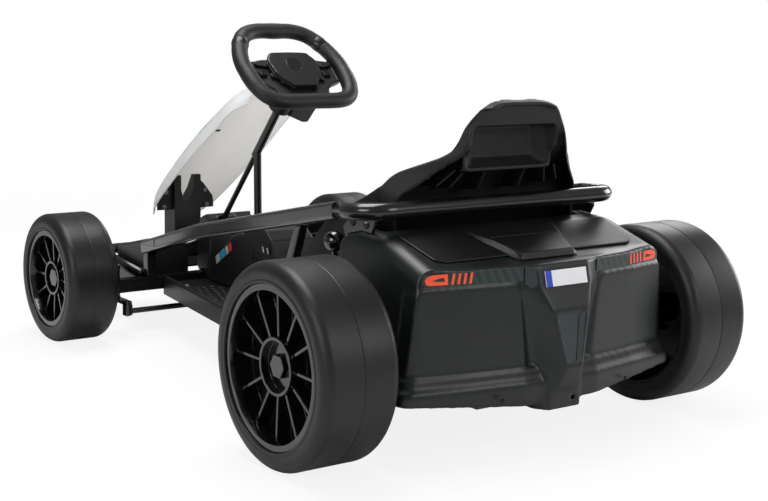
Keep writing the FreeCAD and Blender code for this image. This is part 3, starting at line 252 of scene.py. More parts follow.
node_body = {}
for body_name, members in frame["record"]["behaviour"]["bodies"].items():
    for member in members:
        node_body[member] = body_name


def mesh_piece(name, vertices, faces, finish):
    """A new smooth-shaded piece, with its place in its mesh."""
    mesh = bpy.data.meshes.new(name)
    mesh.from_pydata([tuple(v) for v in vertices], [], faces)
    mesh.materials.append(finish)
    piece = new_object(name, mesh)
    shape = bmesh.new()
    shape.from_mesh(mesh)
    bmesh.ops.remove_doubles(shape, verts=shape.verts, dist=0.00001)
    bmesh.ops.recalc_face_normals(shape, faces=shape.faces)
    for face in shape.faces:
        face.smooth = True
    shape.to_mesh(mesh)
    shape.free()
    return piece


def settled(piece):
    """Turns a piece's modifiers into its plain mesh."""
    bpy.context.view_layer.update()
    made = bpy.data.meshes.new_from_object(piece.evaluated_get(bpy.context.evaluated_depsgraph_get()))
    piece.modifiers.clear()
    before = piece.data
    piece.data = made
    bpy.data.meshes.remove(before)
    return piece


def softened(piece, edge, steps=2, sharpest=33.0):
    """Rounds the sharp edges, as a mould leaves them, and keeps the flats flat."""
    for face in piece.data.polygons:
        face.use_smooth = True
    if edge > 0:
        bevel = piece.modifiers.new("edge", "BEVEL")
        bevel.width = edge
        bevel.segments = steps
        bevel.limit_method = "ANGLE"
        bevel.angle_limit = math.radians(sharpest)
        bevel.use_clamp_overlap = False
        bevel.miter_outer = "MITER_ARC"
    even = piece.modifiers.new("even", "WEIGHTED_NORMAL")
    even.keep_sharp = True
    return settled(piece)


def joined(piece, node, stands_for=False):
    """The piece moves with a node's body, and may stand in its place."""
    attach(piece, node_body[node])
    if stands_for:
        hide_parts(node)
    return piece


def ring_faces(rings, around, closed=True):
    """Faces between rings of points; closed joins the last ring to the first."""
    faces = []
    for ring in range(rings if closed else rings - 1):
        here = ring * around
        beyond = (ring + 1) % rings * around
        for step in range(around):
            after = (step + 1) % around
            faces.append((here + step, here + after, beyond + after, beyond + step))
    return faces


def tyre_ring(node, finish, sidewall, shoulder, part_line):
    """A tyre turned round its axle, from its bead over the shoulders to the other bead."""
    low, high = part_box(node)
    centre = (low + high) / 2
    radius = (high.z - low.z) / 2
    half = (high.y - low.y) / 2
    bead = radius - sidewall
    # Bead, sidewall with its moulded groove, shoulder, crown and parting line: radius, half width
    outline = [(bead, half - 0.004), (bead, half - 0.0006), (bead + 0.0012, half), (bead + 0.004, half),
               (bead + 0.0048, half - 0.0007), (bead + 0.0058, half - 0.0007), (bead + 0.0066, half)]
    for step in range(10):
        angle = math.radians(90 * step / 9)
        outline.append((radius - shoulder + shoulder * math.sin(angle),
                        half - shoulder + shoulder * math.cos(angle)))
    outline += [(radius - 0.0001, half * 0.5), (radius - 0.0001, part_line * 1.6),
                (radius - 0.0009, part_line * 0.7)]
    outline += [(r, -y) for r, y in reversed(outline)]
    turns = 144
    vertices = []
    for turn_number in range(turns):
        angle = 2 * math.pi * turn_number / turns
        for r, y in outline:
            vertices.append(centre + Vector((r * math.cos(angle), y, r * math.sin(angle))))
    tyre = mesh_piece("dressed_" + node, vertices, ring_faces(turns, len(outline)), finish)
    return joined(softened(tyre, 0), node, True)


tyre_rubber = moulded("tyre_rubber", (0.0060, 0.0060, 0.0064), 0.42, 2200.0, 0.00005, 0.6, shine=0.36)
tyre_sidewall = 0.0287
tyre_shoulder = 0.016
parting_line_half = 0.0008
for axle in ("rear", "front"):
    for side in ("left", "right"):
        tyre_ring(f"tyre_{axle}_{side}", tyre_rubber, tyre_sidewall, tyre_shoulder, parting_line_half)

# Wheels: one gloss black moulding each, with a lip, a deep dish, twelve thin fins from the dish to
# the hub ring, and a six-sided cap in the hub's well. They run free on a plain axle or spindle.
merge_distance = 0.00003
flat_within = 0.6


def merged_copy(node, finish, whole_flats=False):
    """A merged copy of a node's solid, with each of its flats made one face where asked."""
    mesh = bpy.data.meshes.new("dressed_" + node)
    shape = bmesh.new()
    shape.from_mesh(frame["nodes"][node].data)
    bmesh.ops.remove_doubles(shape, verts=shape.verts, dist=merge_distance)
    if whole_flats:
        bmesh.ops.dissolve_limit(shape, angle_limit=math.radians(flat_within), verts=shape.verts,
                                 edges=shape.edges)
    shape.to_mesh(mesh)
    shape.free()
    mesh.materials.clear()
    mesh.materials.append(finish)
    return new_object("dressed_" + node, mesh)


def dressed(node, finish, edge, steps=2):
    """A merged copy of a node's solid with softened edges, which stands in its place."""
    return joined(softened(merged_copy(node, finish, True), edge, steps), node, True)


wheel_gloss = moulded("wheel_gloss", (0.0030, 0.0030, 0.0033), 0.15, 600.0, 0.00002, 0.25, 0.5)
wheel_edge = 0.0009
for axle in ("rear", "front"):
    for side in ("left", "right"):
        dressed(f"rim_{axle}_{side}", wheel_gloss, wheel_edge)


# Front axle: a square steel beam with a kingpin sleeve at each end, forked knuckles with their
# spindles and arms, and the tie rod. All are satin black powder coat; the bolts' heads are plated.
def screw_tree():
    """Round heads with a cross slot in painted shade, one on each point, turned to the point's facing.
    """
    tree = bpy.data.node_groups.new("screw heads", "GeometryNodeTree")
    tree.interface.new_socket("Geometry", in_out="INPUT", socket_type="NodeSocketGeometry")
    for label, kind in (("Radius", "NodeSocketFloat"), ("Height", "NodeSocketFloat"),
                        ("Head", "NodeSocketMaterial"), ("Slot Shade", "NodeSocketMaterial")):
        tree.interface.new_socket(label, in_out="INPUT", socket_type=kind)
    tree.interface.new_socket("Geometry", in_out="OUTPUT", socket_type="NodeSocketGeometry")
    head_sides = 18
    crown_share = 0.78
    slot_long, slot_wide = 1.1, 0.24
    slot_proud = 0.0003
    nodes = tree.nodes
    given = nodes.new("NodeGroupInput")
    made = nodes.new("NodeGroupOutput")
    crown = math_node(nodes, "MULTIPLY", crown_share)
    link(given, "Radius", crown, 0)
    head = nodes.new("GeometryNodeMeshCone")
    head.inputs["Vertices"].default_value = head_sides
    link(crown, 0, head, "Radius Top")
    link(given, "Radius", head, "Radius Bottom")
    link(given, "Height", head, "Depth")
    head_finish = nodes.new("GeometryNodeSetMaterial")
    link(head, "Mesh", head_finish, "Geometry")
    link(given, "Head", head_finish, "Material")
    heads = nodes.new("GeometryNodeJoinGeometry")
    for wide, deep in ((slot_long, slot_wide), (slot_wide, slot_long)):
        bar_size = nodes.new("ShaderNodeCombineXYZ")
        for axis, share in (("X", wide), ("Y", deep)):
            scaled = math_node(nodes, "MULTIPLY", share)
            link(given, "Radius", scaled, 0)
            link(scaled, 0, bar_size, axis)
        bar_size.inputs["Z"].default_value = slot_proud
        bar = nodes.new("GeometryNodeMeshCube")
        link(bar_size, 0, bar, "Size")
        bar_lift = nodes.new("ShaderNodeCombineXYZ")
        link(given, "Height", bar_lift, "Z")
        bar_place = nodes.new("GeometryNodeTransform")
        link(bar, "Mesh", bar_place, "Geometry")
        link(bar_lift, 0, bar_place, "Translation")
        bar_finish = nodes.new("GeometryNodeSetMaterial")
        link(bar_place, "Geometry", bar_finish, "Geometry")
        link(given, "Slot Shade", bar_finish, "Material")
        link(bar_finish, "Geometry", heads, "Geometry")
    link(head_finish, "Geometry", heads, "Geometry")
    facing = nodes.new("GeometryNodeInputNamedAttribute")
    facing.data_type = "FLOAT_VECTOR"
    facing.inputs["Name"].default_value = "facing"
    turned = nodes.new("FunctionNodeAlignRotationToVector")
    turned.axis = "Z"
    link(facing, "Attribute", turned, "Vector")
    spread = nodes.new("GeometryNodeInstanceOnPoints")
    link(given, "Geometry", spread, "Points")
    link(heads, "Geometry", spread, "Instance")
    link(turned, "Rotation", spread, "Rotation")
    real = nodes.new("GeometryNodeRealizeInstances")
    link(spread, "Instances", real, "Geometry")
    link(real, "Geometry", made, "Geometry")
    return tree


screw_heads = screw_tree()
plated = moulded("plated_screw", (0.32, 0.32, 0.33), 0.38, 900.0, 0.00002, 0.3, shine=0.5, metal=0.8)
black_screw = moulded("black_screw", (0.010, 0.010, 0.011), 0.30, 900.0, 0.00002, 0.3, shine=0.5)
# Near black that stands in for the shade inside slots, vents and screw recesses, a painted shade; the
# fairing's dark stripe is printed in it too
painted_shade_and_print_dark = moulded("painted_shade_and_print_dark", (0.0025, 0.0025, 0.0025), 0.6, 900.0, 0.00002, 0.3)


def screws(name, node, places, radius, height, finish):
    """Screw heads at (place, facing) pairs, made in one tree and kept as a plain mesh."""
    mesh = bpy.data.meshes.new(name)
    mesh.from_pydata([tuple(place) for place, _ in places], [], [])
    facing = mesh.attributes.new("facing", "FLOAT_VECTOR", "POINT")
    for number, (_, toward) in enumerate(places):
        facing.data[number].vector = Vector(toward).normalized()
    piece = new_object(name, mesh)
    maker = piece.modifiers.new("screws", "NODES")
    maker.node_group = screw_heads
    given = {"Radius": radius, "Height": height, "Head": finish, "Slot Shade": painted_shade_and_print_dark}
    for item in screw_heads.interface.items_tree:
        if item.item_type == "SOCKET" and item.in_out == "INPUT" and item.name in given:
            maker[item.identifier] = given[item.name]
    return joined(settled(piece), node)


axle_low, axle_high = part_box("rear_axle")
axle_x = (axle_low.x + axle_high.x) / 2


def placed(x, y, z):
    """A place in millimetres from the rear axle and the floor, in the frame's metres."""
    return Vector((axle_x + x / 1000, y / 1000, z / 1000))


def on_both_sides(spots, facing):
    """Screw places from spots on the left, each with its mirror on the right."""
    return [(placed(x, side * y, z), (facing[0], side * facing[1], facing[2]))
            for x, y, z in spots for side in (1, -1)]


frame_paint = moulded("frame_paint", (0.0045, 0.0045, 0.0050), 0.24, 700.0, 0.00003, 0.35, 0.3,
                      shine=0.42)
wheelbase = 828.0
kingpin_y = 215.0
kingpin_top = 133.7
rod_end_x = wheelbase - 58.0
rod_end_foot = 45.0
for node in ("front_axle_beam", "knuckle_left", "knuckle_right", "tie_rod"):
    dressed(node, frame_paint, 0.0008)
for side_name, side in (("left", 1), ("right", -1)):
    screws(f"kingpin_nut_{side_name}", f"knuckle_{side_name}",
           [(placed(wheelbase, side * kingpin_y, kingpin_top), (0, 0, 1))], 0.0070, 0.0030, plated)
rod_nuts = on_both_sides([(rod_end_x, kingpin_y, rod_end_foot)], (0, 0, -1))
screws("tie_rod_nuts", "tie_rod", rod_nuts, 0.0062, 0.0020, plated)

# Under frame, rear axle, axle carriers, bumper and the seat's stands: square and round steel tube,
# welded and powder coated satin black. The axle is a plain steel bar; the bumper is one bent hoop.
steel = moulded("steel", (0.30, 0.30, 0.31), 0.36, 600.0, 0.00002, 0.2, shine=0.5, metal=0.85)
for node, edge in (("under_frame", 0.0016), ("axle_carriers", 0.0008), ("bumper_tube", 0.0)):
    dressed(node, frame_paint, edge)
dressed("rear_axle", steel, 0.0008)
dressed("seat_supports", frame_paint, 0.0008)

# Drive motors and battery: closed cases inside the housing, grey-black plastic, seen only from below.
motor_case = moulded("motor_case", (0.014, 0.014, 0.015), 0.5, 900.0, 0.00005, 0.3)
battery_case = moulded("battery_case", (0.030, 0.030, 0.034), 0.5, 900.0, 0.00005, 0.3)
dressed("drive_motors", motor_case, 0.004, 3)
dressed("battery", battery_case, 0.003, 3)

# Floor tray: one black moulding with a thick lip, raised lozenge pads under the feet and two rows
# of screws that hold it on the frame.
tray_black = moulded("tray_black", (0.0068, 0.0070, 0.0076), 0.40, 1500.0, 0.00008, 0.35, shine=0.36)
dressed("floor_tray", tray_black, 0.0012)
tray_top = 88.0
tray_screw_y = 95.0
tray_spots = [(x, tray_screw_y, tray_top) for x in (wheelbase - 60.0, wheelbase - 300.0, 200.0)]
screws("tray_screws", "floor_tray", on_both_sides(tray_spots, (0, 0, 1)), 0.0055, 0.0018, plated)

# Nose shell, its post, the bracket, the shaft's cover, the console and its pod are black mouldings
# screwed to the tray. The pod carries two rocker switches, the console slots and plain stripes.
shell_black = moulded("shell_black", (0.0082, 0.0088, 0.0094), 0.40, 1500.0, 0.00009, 0.35, shine=0.36)
for node, edge in (("nose_shell", 0.005), ("fairing_post", 0.0012), ("fairing_bracket", 0.0008),
                   ("shaft_cover", 0.005), ("console", 0.006), ("console_pod", 0.003),
                   ("wheel_housing", 0.003)):
    dressed(node, shell_black, edge, 3)
bracket_rear_x = wheelbase + 121.0
bracket_spots = [(bracket_rear_x, y, z) for y, z in ((47.0, 209.0), (43.0, 238.0))]
bracket_screws = on_both_sides(bracket_spots, (-1, 0, 0))
screws("bracket_screws", "fairing_bracket", bracket_screws, 0.0042, 0.0020, plated)


def prism_faces(count):
    """Faces of a plate given by one outline of count points and then the other."""
    faces = [tuple(range(count)), tuple(range(2 * count - 1, count - 1, -1))]
    for number in range(count):
        after = (number + 1) % count
        faces.append((number, after, after + count, number + count))
    return faces


def slab(name, node, corners, outward, thickness, finish, edge=0.0004, steps=2):
    """A flat plate on its corners, raised outward, with softened edges."""
    out = Vector(outward).normalized() * thickness
    vertices = [Vector(c) for c in corners] + [Vector(c) + out for c in corners]
    plate = mesh_piece(name, vertices, prism_faces(len(corners)), finish)
    return joined(softened(plate, edge, steps), node)


def side_slab(name, node, y, outline, thickness, finish, edge=0.0004, steps=2):
    """A flat plate on a left face, from an outline of (x, z) pairs in millimetres."""
    slab(name, node, [placed(x, y, z) for x, z in outline], (0, 1, 0), thickness, finish, edge, steps)


switch_dark = moulded("switch_dark", (0.0045, 0.0045, 0.0050), 0.22, 900.0, 0.00002, 0.2)
switch_pale = moulded("switch_pale", (0.42, 0.43, 0.44), 0.35, 900.0, 0.00002, 0.2)
pod_half = 44.0
rocker_low, rocker_high = 173.0, 187.0
rocker_long = 12
mark_inset = 2.0
mark_y = pod_half + 1.4
for name, front_x in (("ahead", 584.0), ("behind", 569.0)):
    rear_x = front_x - rocker_long
    outline = ((front_x, rocker_low), (rear_x, rocker_low), (rear_x, rocker_high),
               (front_x, rocker_high))
    side_slab("rocker_" + name, "console_pod", pod_half, outline, 0.0016, switch_dark)
    # The pale slanted mark that stands just out of the rocker's face
    mark_low, mark_high = rocker_low + mark_inset, rocker_high - mark_inset
    side_slab("rocker_tip_" + name, "console_pod", mark_y,
              ((front_x - 6, mark_low), (front_x - 10, mark_low), (front_x - 6, mark_high),
               (front_x - 2, mark_high)), 0.0008, switch_pale, 0.0002)
# The pod's slot, a thin dark sheet of painted shade
side_slab("pod_slot", "console_pod", pod_half, ((588, 190.5), (556, 190.5), (556, 192.6), (588, 192.6)),
          0.0004, painted_shade_and_print_dark, 0)
console_half = 40.0
vent_rear_x, vent_rear_z = wheelbase - 250.0, 152.0
vent_pitch_x, vent_pitch_z = 13.0, 4.5
vent_wide, vent_tall, vent_climb = 8, 12, 3
# The console's vents, thin dark sheets of painted shade on its side
for number in range(4):
    x = vent_rear_x + number * vent_pitch_x
    z = vent_rear_z + number * vent_pitch_z
    side_slab(f"console_vent_{number}", "console", console_half,
              ((x, z), (x + vent_wide, z + vent_climb), (x + vent_wide, z + vent_climb - vent_tall),
               (x, z - vent_tall)), 0.0006, painted_shade_and_print_dark, 0)
stripe_cyan = moulded("stripe_cyan", (0.03, 0.34, 0.52), 0.35, 900.0, 0.00001, 0.1)
stripe_red = moulded("stripe_red", (0.60, 0.035, 0.030), 0.35, 900.0, 0.00001, 0.1)
stripe_violet = moulded("stripe_violet", (0.24, 0.16, 0.42), 0.35, 900.0, 0.00001, 0.1)
# Generic slanted stripes up the console's side: offset back from their front end, length, finish
stripes_front_x, stripes_front_z = wheelbase - 66.0, 128.0
stripes_climb = 0.62
stripe_half, stripe_slant = 7, 4
for number, (back, long, finish) in enumerate(((8.0, 15.0, switch_pale), (26.0, 15.0, stripe_cyan),
                                               (44.0, 9.0, switch_pale), (56.0, 9.0, stripe_red))):
    x = stripes_front_x - back
    z = stripes_front_z + back * stripes_climb
    climb = long * stripes_climb
    side_slab(f"console_stripe_{number}", "console", console_half,
              ((x, z - stripe_half), (x - long, z - stripe_half + climb),
               (x - long + stripe_slant, z + stripe_half + climb), (x + stripe_slant, z + stripe_half)),
              0.0004, finish, 0.0001, 1)

# Start button, hand lever and pedal: a red push button on the pod's rear face, a lever with a
# gloss ball beside the seat, and a ribbed pedal on the nose's right.
button_red = moulded("button_red", (0.55, 0.008, 0.012), 0.25, 600.0, 0.00001, 0.1, shine=0.5)
dressed("console_button", button_red, 0.002, 3)
knob_black = moulded("knob_black", (0.0030, 0.0030, 0.0030), 0.10, 600.0, 0.00001, 0.1, 0.5, shine=0.5)
dressed("hand_lever", knob_black, 0.0)
dressed("accelerator_pedal", shell_black, 0.002, 3)

# Steering column: the tube round the shaft, its leg, and the shaft with its crank, black steel.
dressed("column_support", frame_paint, 0.0008)
dressed("steering_shaft", frame_paint, 0.0008)

# Hand wheel: a flat-bottomed grip in soft black plastic on three flat spokes, a shield-shaped pad,
# push buttons on both sides of the pad and two satin inserts in the thumb rests.
grip_black = moulded("grip_black", (0.0068, 0.0068, 0.0074), 0.46, 2600.0, 0.00012, 0.35, shine=0.34)
pad_black = moulded("pad_black", (0.0062, 0.0062, 0.0068), 0.30, 1200.0, 0.00003, 0.3, shine=0.4)
shaft_slope = math.radians(48.9)
shaft_up = Vector((-math.cos(shaft_slope), 0, math.sin(shaft_slope)))
wheel_up = Vector((math.sin(shaft_slope), 0, math.cos(shaft_slope)))
# A point on the shaft, and how far up the shaft and up its own face the grip's middle lies from it
shaft_point = placed(wheelbase - 154.0, 0, 345.0)
grip_up_shaft = 0.193
grip_up_face = 0.0185
hand_wheel_centre = shaft_point + shaft_up * grip_up_shaft + wheel_up * grip_up_face


def on_wheel(across, up, toward):
    """A place on the hand wheel: millimetres to its left, up its face and toward the driver."""
    in_plane = hand_wheel_centre + Vector((0, across, 0)) / 1000 + wheel_up * (up / 1000)
    return in_plane + shaft_up * (toward / 1000)


# Left half of the grip's middle line, from the top down to the flat bottom: across, up
grip_half_line = ((0.0, 86.5), (38.0, 85.5), (66.0, 73.0), (86.0, 44.0), (97.0, 10.0), (98.0, -22.0),
                  (93.0, -54.0), (80.0, -76.0), (56.0, -86.0), (0.0, -86.5))


def mirrored(half_line, stop=None):
    """A line's left half and then its mirror; stop -1 leaves a last point on the middle out."""
    return list(half_line) + [(-across, up) for across, up in reversed(half_line[1:stop])]


grip_line = mirrored(grip_half_line, -1)


def grip_spot(spot):
    """Place and direction on the grip's middle line; spot counts its points leftward from the top."""
    first = math.floor(spot)
    share = spot - first
    p0, p1, p2, p3 = (Vector(grip_line[(first + step) % len(grip_line)]) for step in (-1, 0, 1, 2))
    bend = 2 * p0 - 5 * p1 + 4 * p2 - p3
    twist = 3 * p1 - p0 - 3 * p2 + p3
    place = 0.5 * ((2 * p1) + (p2 - p0) * share + bend * share ** 2 + twist * share ** 3)
    run = 0.5 * ((p2 - p0) + 2 * bend * share + 3 * twist * share ** 2)
    return place, run.normalized()


def grip_tube(name, start, end, wide, deep, finish, closed=False):
    """A stretch of the grip: an oval section carried along its middle line, drawn in at open ends."""
    rings_to_a_point = 9
    steps = max(6, int((end - start) * rings_to_a_point))
    rings = steps if closed else steps + 1
    around = 24
    vertices = []
    for step in range(rings):
        place, run = grip_spot(start + (end - start) * step / steps)
        side = Vector((run.y, -run.x))
        swell = 1.0 if closed else math.sin(math.pi * (0.08 + 0.84 * step / steps)) ** 0.15
        for turn_number in range(around):
            angle = 2 * math.pi * turn_number / around
            across = place + side * (wide * swell * math.cos(angle))
            vertices.append(on_wheel(across.x, across.y, deep * swell * math.sin(angle)))
    faces = ring_faces(rings, around, closed)
    if not closed:
        faces.append(tuple(range(around)))
        faces.append(tuple(range((rings - 1) * around, rings * around)))
    return mesh_piece(name, vertices, faces, finish)


def moulded_soft(piece, grid, passes, keep=1.0):
    """Rounds every corner and hollow of a piece, as a blown or thick moulding has them."""
    skin = piece.modifiers.new("skin", "REMESH")
    skin.mode = "VOXEL"
    skin.voxel_size = grid
    skin.use_smooth_shade = True
    smooth = piece.modifiers.new("smooth", "SMOOTH")
    smooth.factor = 0.5
    smooth.iterations = passes
    if keep < 1.0:
        fewer = piece.modifiers.new("fewer", "DECIMATE")
        fewer.ratio = keep
    settled(piece)
    for face in piece.data.polygons:
        face.use_smooth = True
    return piece


def wheel_plate(name, outline, low, high, finish):
    """A plate across the hand wheel, from its outline and its back and front depth."""
    vertices = [on_wheel(across, up, depth) for depth in (low, high) for across, up in outline]
    return mesh_piece(name, vertices, prism_faces(len(outline)), finish)


def circle(radius, count, up):
    """Points round a circle on the hand wheel's middle line."""
    turns = [2 * math.pi * number / count for number in range(count)]
    return [(radius * math.cos(angle), radius * math.sin(angle) + up) for angle in turns]


def one_piece(name, parts):
    """Puts several meshes together under the first one's name."""
    shape = bmesh.new()
    for part in parts:
        shape.from_mesh(part.data)
    whole = parts[0]
    shape.to_mesh(whole.data)
    shape.free()
    for part in parts[1:]:
        bpy.data.objects.remove(part)
    whole.name = name
    return whole


grip_wide = 14.5
grip_deep = 12.5
spoke_half = ((0.0, 22.0), (50.0, 22.0), (88.0, 14.0), (90.0, -30.0), (66.0, -40.0), (54.0, -52.0),
              (46.0, -78.0))
boss_radius, boss_up = 20.0, -18.5
hand_grip = grip_tube("hand_grip", 0, len(grip_line), grip_wide, grip_deep, grip_black, True)
hand_spokes = wheel_plate("hand_spokes", mirrored(spoke_half), -18.0, -6.0, grip_black)
hand_boss = wheel_plate("hand_boss", circle(boss_radius, 32, boss_up), -26.0, -12.0, grip_black)
hand_wheel = one_piece("dressed_steering_wheel", [hand_grip, hand_spokes, hand_boss])
joined(moulded_soft(hand_wheel, grid=0.0016, passes=5), "steering_wheel", True)
shield_half = ((0.0, 28.0), (38.0, 26.0), (49.0, 8.0), (46.0, -22.0), (23.0, -54.0))
hand_pad = wheel_plate("dressed_steering_pad", mirrored(shield_half), -5.7, 6.0, pad_black)
joined(moulded_soft(hand_pad, grid=0.0012, passes=14), "steering_pad", True)
# The shield's raised rim along its lower edges, where the light catches it
rim_half = ((50.5, 6.0), (47.5, -23.0), (24.0, -56.5))
for side_name, side in (("left", 1), ("right", -1)):
    rim = [(side * across, up) for across, up in rim_half]
    rim += [(side * (across - 2.6), up + 1.6) for across, up in reversed(rim_half)]
    pad_rim = wheel_plate(f"pad_rim_{side_name}", rim, -5.0, 2.0, pad_black)
    joined(moulded_soft(pad_rim, grid=0.0007, passes=3), "steering_pad")
# Thumb rests and grip sleeves: where each starts and ends along the grip, how much it stands out
grip_sleeves = (
    ("thumb_left", 2.35, 3.05, 0.9, pad_black),
    ("thumb_right", 14.95, 15.65, 0.9, pad_black),
    ("top", 17.2, 18.8, 0.45, grip_black),
    ("palm_left", 4.2, 6.6, 0.5, grip_black),
    ("palm_right", 11.4, 13.8, 0.5, grip_black),
)
for name, start, end, proud, finish in grip_sleeves:
    sleeve = grip_tube("grip_sleeve_" + name, start, end, grip_wide + proud, grip_deep + proud, finish)
    joined(softened(sleeve, 0), "steering_wheel")


def rounded(half_wide, half_tall, corner, steps=5):
    """A rounded rectangle round (0, 0), as (across, up) pairs in millimetres."""
    points = []
    for sign_a, sign_b, start in ((1, 1, 0), (-1, 1, 90), (-1, -1, 180), (1, -1, 270)):
        for step in range(steps + 1):
            angle = math.radians(start + 90 * step / steps)
            points.append((sign_a * (half_wide - corner) + corner * math.cos(angle),
                           sign_b * (half_tall - corner) + corner * math.sin(angle)))
    return points


# Buttons: name, across, up, half width, half height, corner, height, turn in degrees, finish
wheel_buttons = (
    ("horn_left", 60.0, 6.0, 12.0, 5.0, 4.6, 5.0, 12.0, pad_black),
    ("square_left", 64.0, -16.0, 7.0, 6.0, 2.0, 5.0, 0.0, switch_dark),
    ("round_left", 46.0, -22.0, 6.0, 6.0, 5.9, 5.5, 0.0, pad_black),
    ("pill_low", 31.0, -40.0, 9.0, 4.5, 4.2, 5.0, 34.0, pad_black),
    ("pill_right", -70.0, 3.0, 12.0, 5.0, 4.6, 5.0, -12.0, pad_black),
    ("square_right", -63.0, -18.0, 7.0, 6.0, 2.0, 5.0, 0.0, switch_dark),
    ("round_right", -48.0, -30.0, 6.0, 6.0, 5.9, 5.5, 0.0, pad_black),
)
for name, across, up, half_wide, half_tall, corner, rise, lean, finish in wheel_buttons:
    lean = math.radians(lean)
    corners = []
    for a, b in rounded(half_wide, half_tall, corner):
        corners.append(on_wheel(across + a * math.cos(lean) - b * math.sin(lean),
                                up + a * math.sin(lean) + b * math.cos(lean), -6.0))
    slab("button_" + name, "steering_wheel", corners, shaft_up, rise / 1000, finish, 0.0012, 3)
disc_radius, disc_up, disc_depth = 15.5, -2, 5.2
disc = [on_wheel(across, up, disc_depth) for across, up in circle(disc_radius, 40, disc_up)]
slab("pad_disc", "steering_pad", disc, shaft_up, 0.0016, wheel_gloss, 0.0007, 2)

# Fairing: a thin white moulding, arched across and leaning back over the post, with a slot in its
# crown and a generic fading stripe along its left flank.
fairing_white = moulded("fairing_white", (0.80, 0.79, 0.78), 0.30, 700.0, 0.00002, 0.05, 0.2, shine=0.5)
set_inputs(fairing_white.node_tree.nodes["Principled BSDF"],
           {"Subsurface Weight": 0.8, "Subsurface Radius": (1.0, 0.95, 0.88), "Subsurface Scale": 0.02})
fairing_slope = math.radians(34.6)
fairing_along = Vector((-math.cos(fairing_slope), 0, math.sin(fairing_slope)))
fairing_out = Vector((math.sin(fairing_slope), 0, math.cos(fairing_slope)))
fairing_foot = placed(wheelbase + 157.0, 0, 190.0)
# Up the fairing, in millimetres: distance from its foot, half width, depth of its crown
fairing_rows = ((0.0, 54.0, 44.0), (40.0, 66.0, 56.0), (140.0, 73.0, 62.0), (240.0, 75.0, 62.0),
                (340.0, 70.0, 58.0), (400.0, 66.0, 50.0), (428.0, 44.0, 34.0))


def fairing_size(distance):
    """Half width and crown depth at a distance up the fairing, eased between its rows."""
    last = len(fairing_rows) - 1
    spot = max(number for number in range(last) if fairing_rows[number][0] <= distance or number == 0)
    near = [fairing_rows[max(0, min(last, spot + step))] for step in (-1, 0, 1, 2)]
    share = (distance - near[1][0]) / (near[2][0] - near[1][0])
    sizes = []
    for column in (1, 2):
        rise = []
        for before, here, after in (near[0:3], near[1:4]):
            run = after[0] - before[0]
            rise.append((after[column] - before[column]) / run * (near[2][0] - near[1][0]))
        cubic = 2 * share ** 3 - 3 * share ** 2 + 1
        sizes.append(cubic * near[1][column] + (share ** 3 - 2 * share ** 2 + share) * rise[0]
                     + (1 - cubic) * near[2][column] + (share ** 3 - share ** 2) * rise[1])
    return sizes


def on_fairing(distance, turn_share, lift=0.0):
    """A place on the outer face; turn_share is -1 at the right edge and 1 at the left edge."""
    half_width, depth = fairing_size(distance)
    radius = (half_width ** 2 + depth ** 2) / (2 * depth)
    middle = depth - radius
    reach = math.acos(max(-1.0, min(1.0, -middle / radius)))
    angle = reach * turn_share
    across = (radius + lift) * math.sin(angle)
    out = middle + (radius + lift) * math.cos(angle)
    in_plane = fairing_foot + fairing_along * (distance / 1000) + Vector((0, across / 1000, 0))
    return in_plane + fairing_out * (out / 1000)


def sheet(name, rows, finish, wall):
    """A grid of points made a skin with a wall."""
    count = len(rows[0])
    vertices = [point for row in rows for point in row]
    faces = []
    for row in range(len(rows) - 1):
        for step in range(count - 1):
            first = row * count + step
            faces.append((first, first + 1, first + count + 1, first + count))
    piece = mesh_piece(name, vertices, faces, finish)
    thick = piece.modifiers.new("wall", "SOLIDIFY")
    thick.thickness = wall
    thick.offset = -1.0
    return piece


fairing_wall = 3.0
fairing_length = fairing_rows[-1][0]
rows_up = 60
columns = 48
rows = []
for step in range(rows_up + 1):
    distance = fairing_length * step / rows_up
    rows.append([on_fairing(distance, -1 + 2 * column / columns) for column in range(columns + 1)])
fairing_skin = sheet("dressed_fairing", rows, fairing_white, fairing_wall / 1000)
# The wall goes inward from the outer face, whichever way the grid's faces came out
crown_normal = fairing_skin.data.polygons[columns * rows_up // 2 + columns // 2].normal
fairing_skin.modifiers["wall"].offset = -1.0 if crown_normal.dot(fairing_out) > 0 else 1.0
softened(fairing_skin, 0.0008, 2, 50.0)
joined(fairing_skin, "fairing", True)
# Stripes: name, start and end up the fairing, turn share at the start and end, width, finish
fairing_stripes = (
    ("red", 128.0, 176.0, 0.50, 0.55, 0.035, stripe_red),
    ("violet", 176.0, 232.0, 0.55, 0.57, 0.040, stripe_violet),
    ("cyan", 232.0, 296.0, 0.57, 0.55, 0.045, stripe_cyan),
    ("dark", 262.0, 318.0, 0.64, 0.60, 0.012, painted_shade_and_print_dark),
)
stripe_lift = 0.25
for name, start, end, turn_start, turn_end, width, finish in fairing_stripes:
    rows = []
    for step in range(13):
        share = step / 12
        distance = start + (end - start) * share
        middle = turn_start + (turn_end - turn_start) * share
        taper = min(1.0, 0.25 + 3 * share, 0.25 + 3 * (1 - share))
        rows.append([on_fairing(distance, middle + width * taper * (column / 6 - 0.5), stripe_lift)
                     for column in range(7)])
    joined(softened(sheet("fairing_stripe_" + name, rows, finish, 0.0002), 0), "fairing")
# The crown's slot, a thin dark sheet of painted shade on the inside of the wall
slot_middle = 228
slot_spots = ((-4, -0.10), (4, -0.10), (4, 0.06), (-4, 0.06))
slot_lift = -fairing_wall - 0.2
slot_corners = [on_fairing(slot_middle + along, share, slot_lift) for along, share in slot_spots]
slab("fairing_slot", "fairing", slot_corners, -fairing_out, 0.0004, painted_shade_and_print_dark, 0)

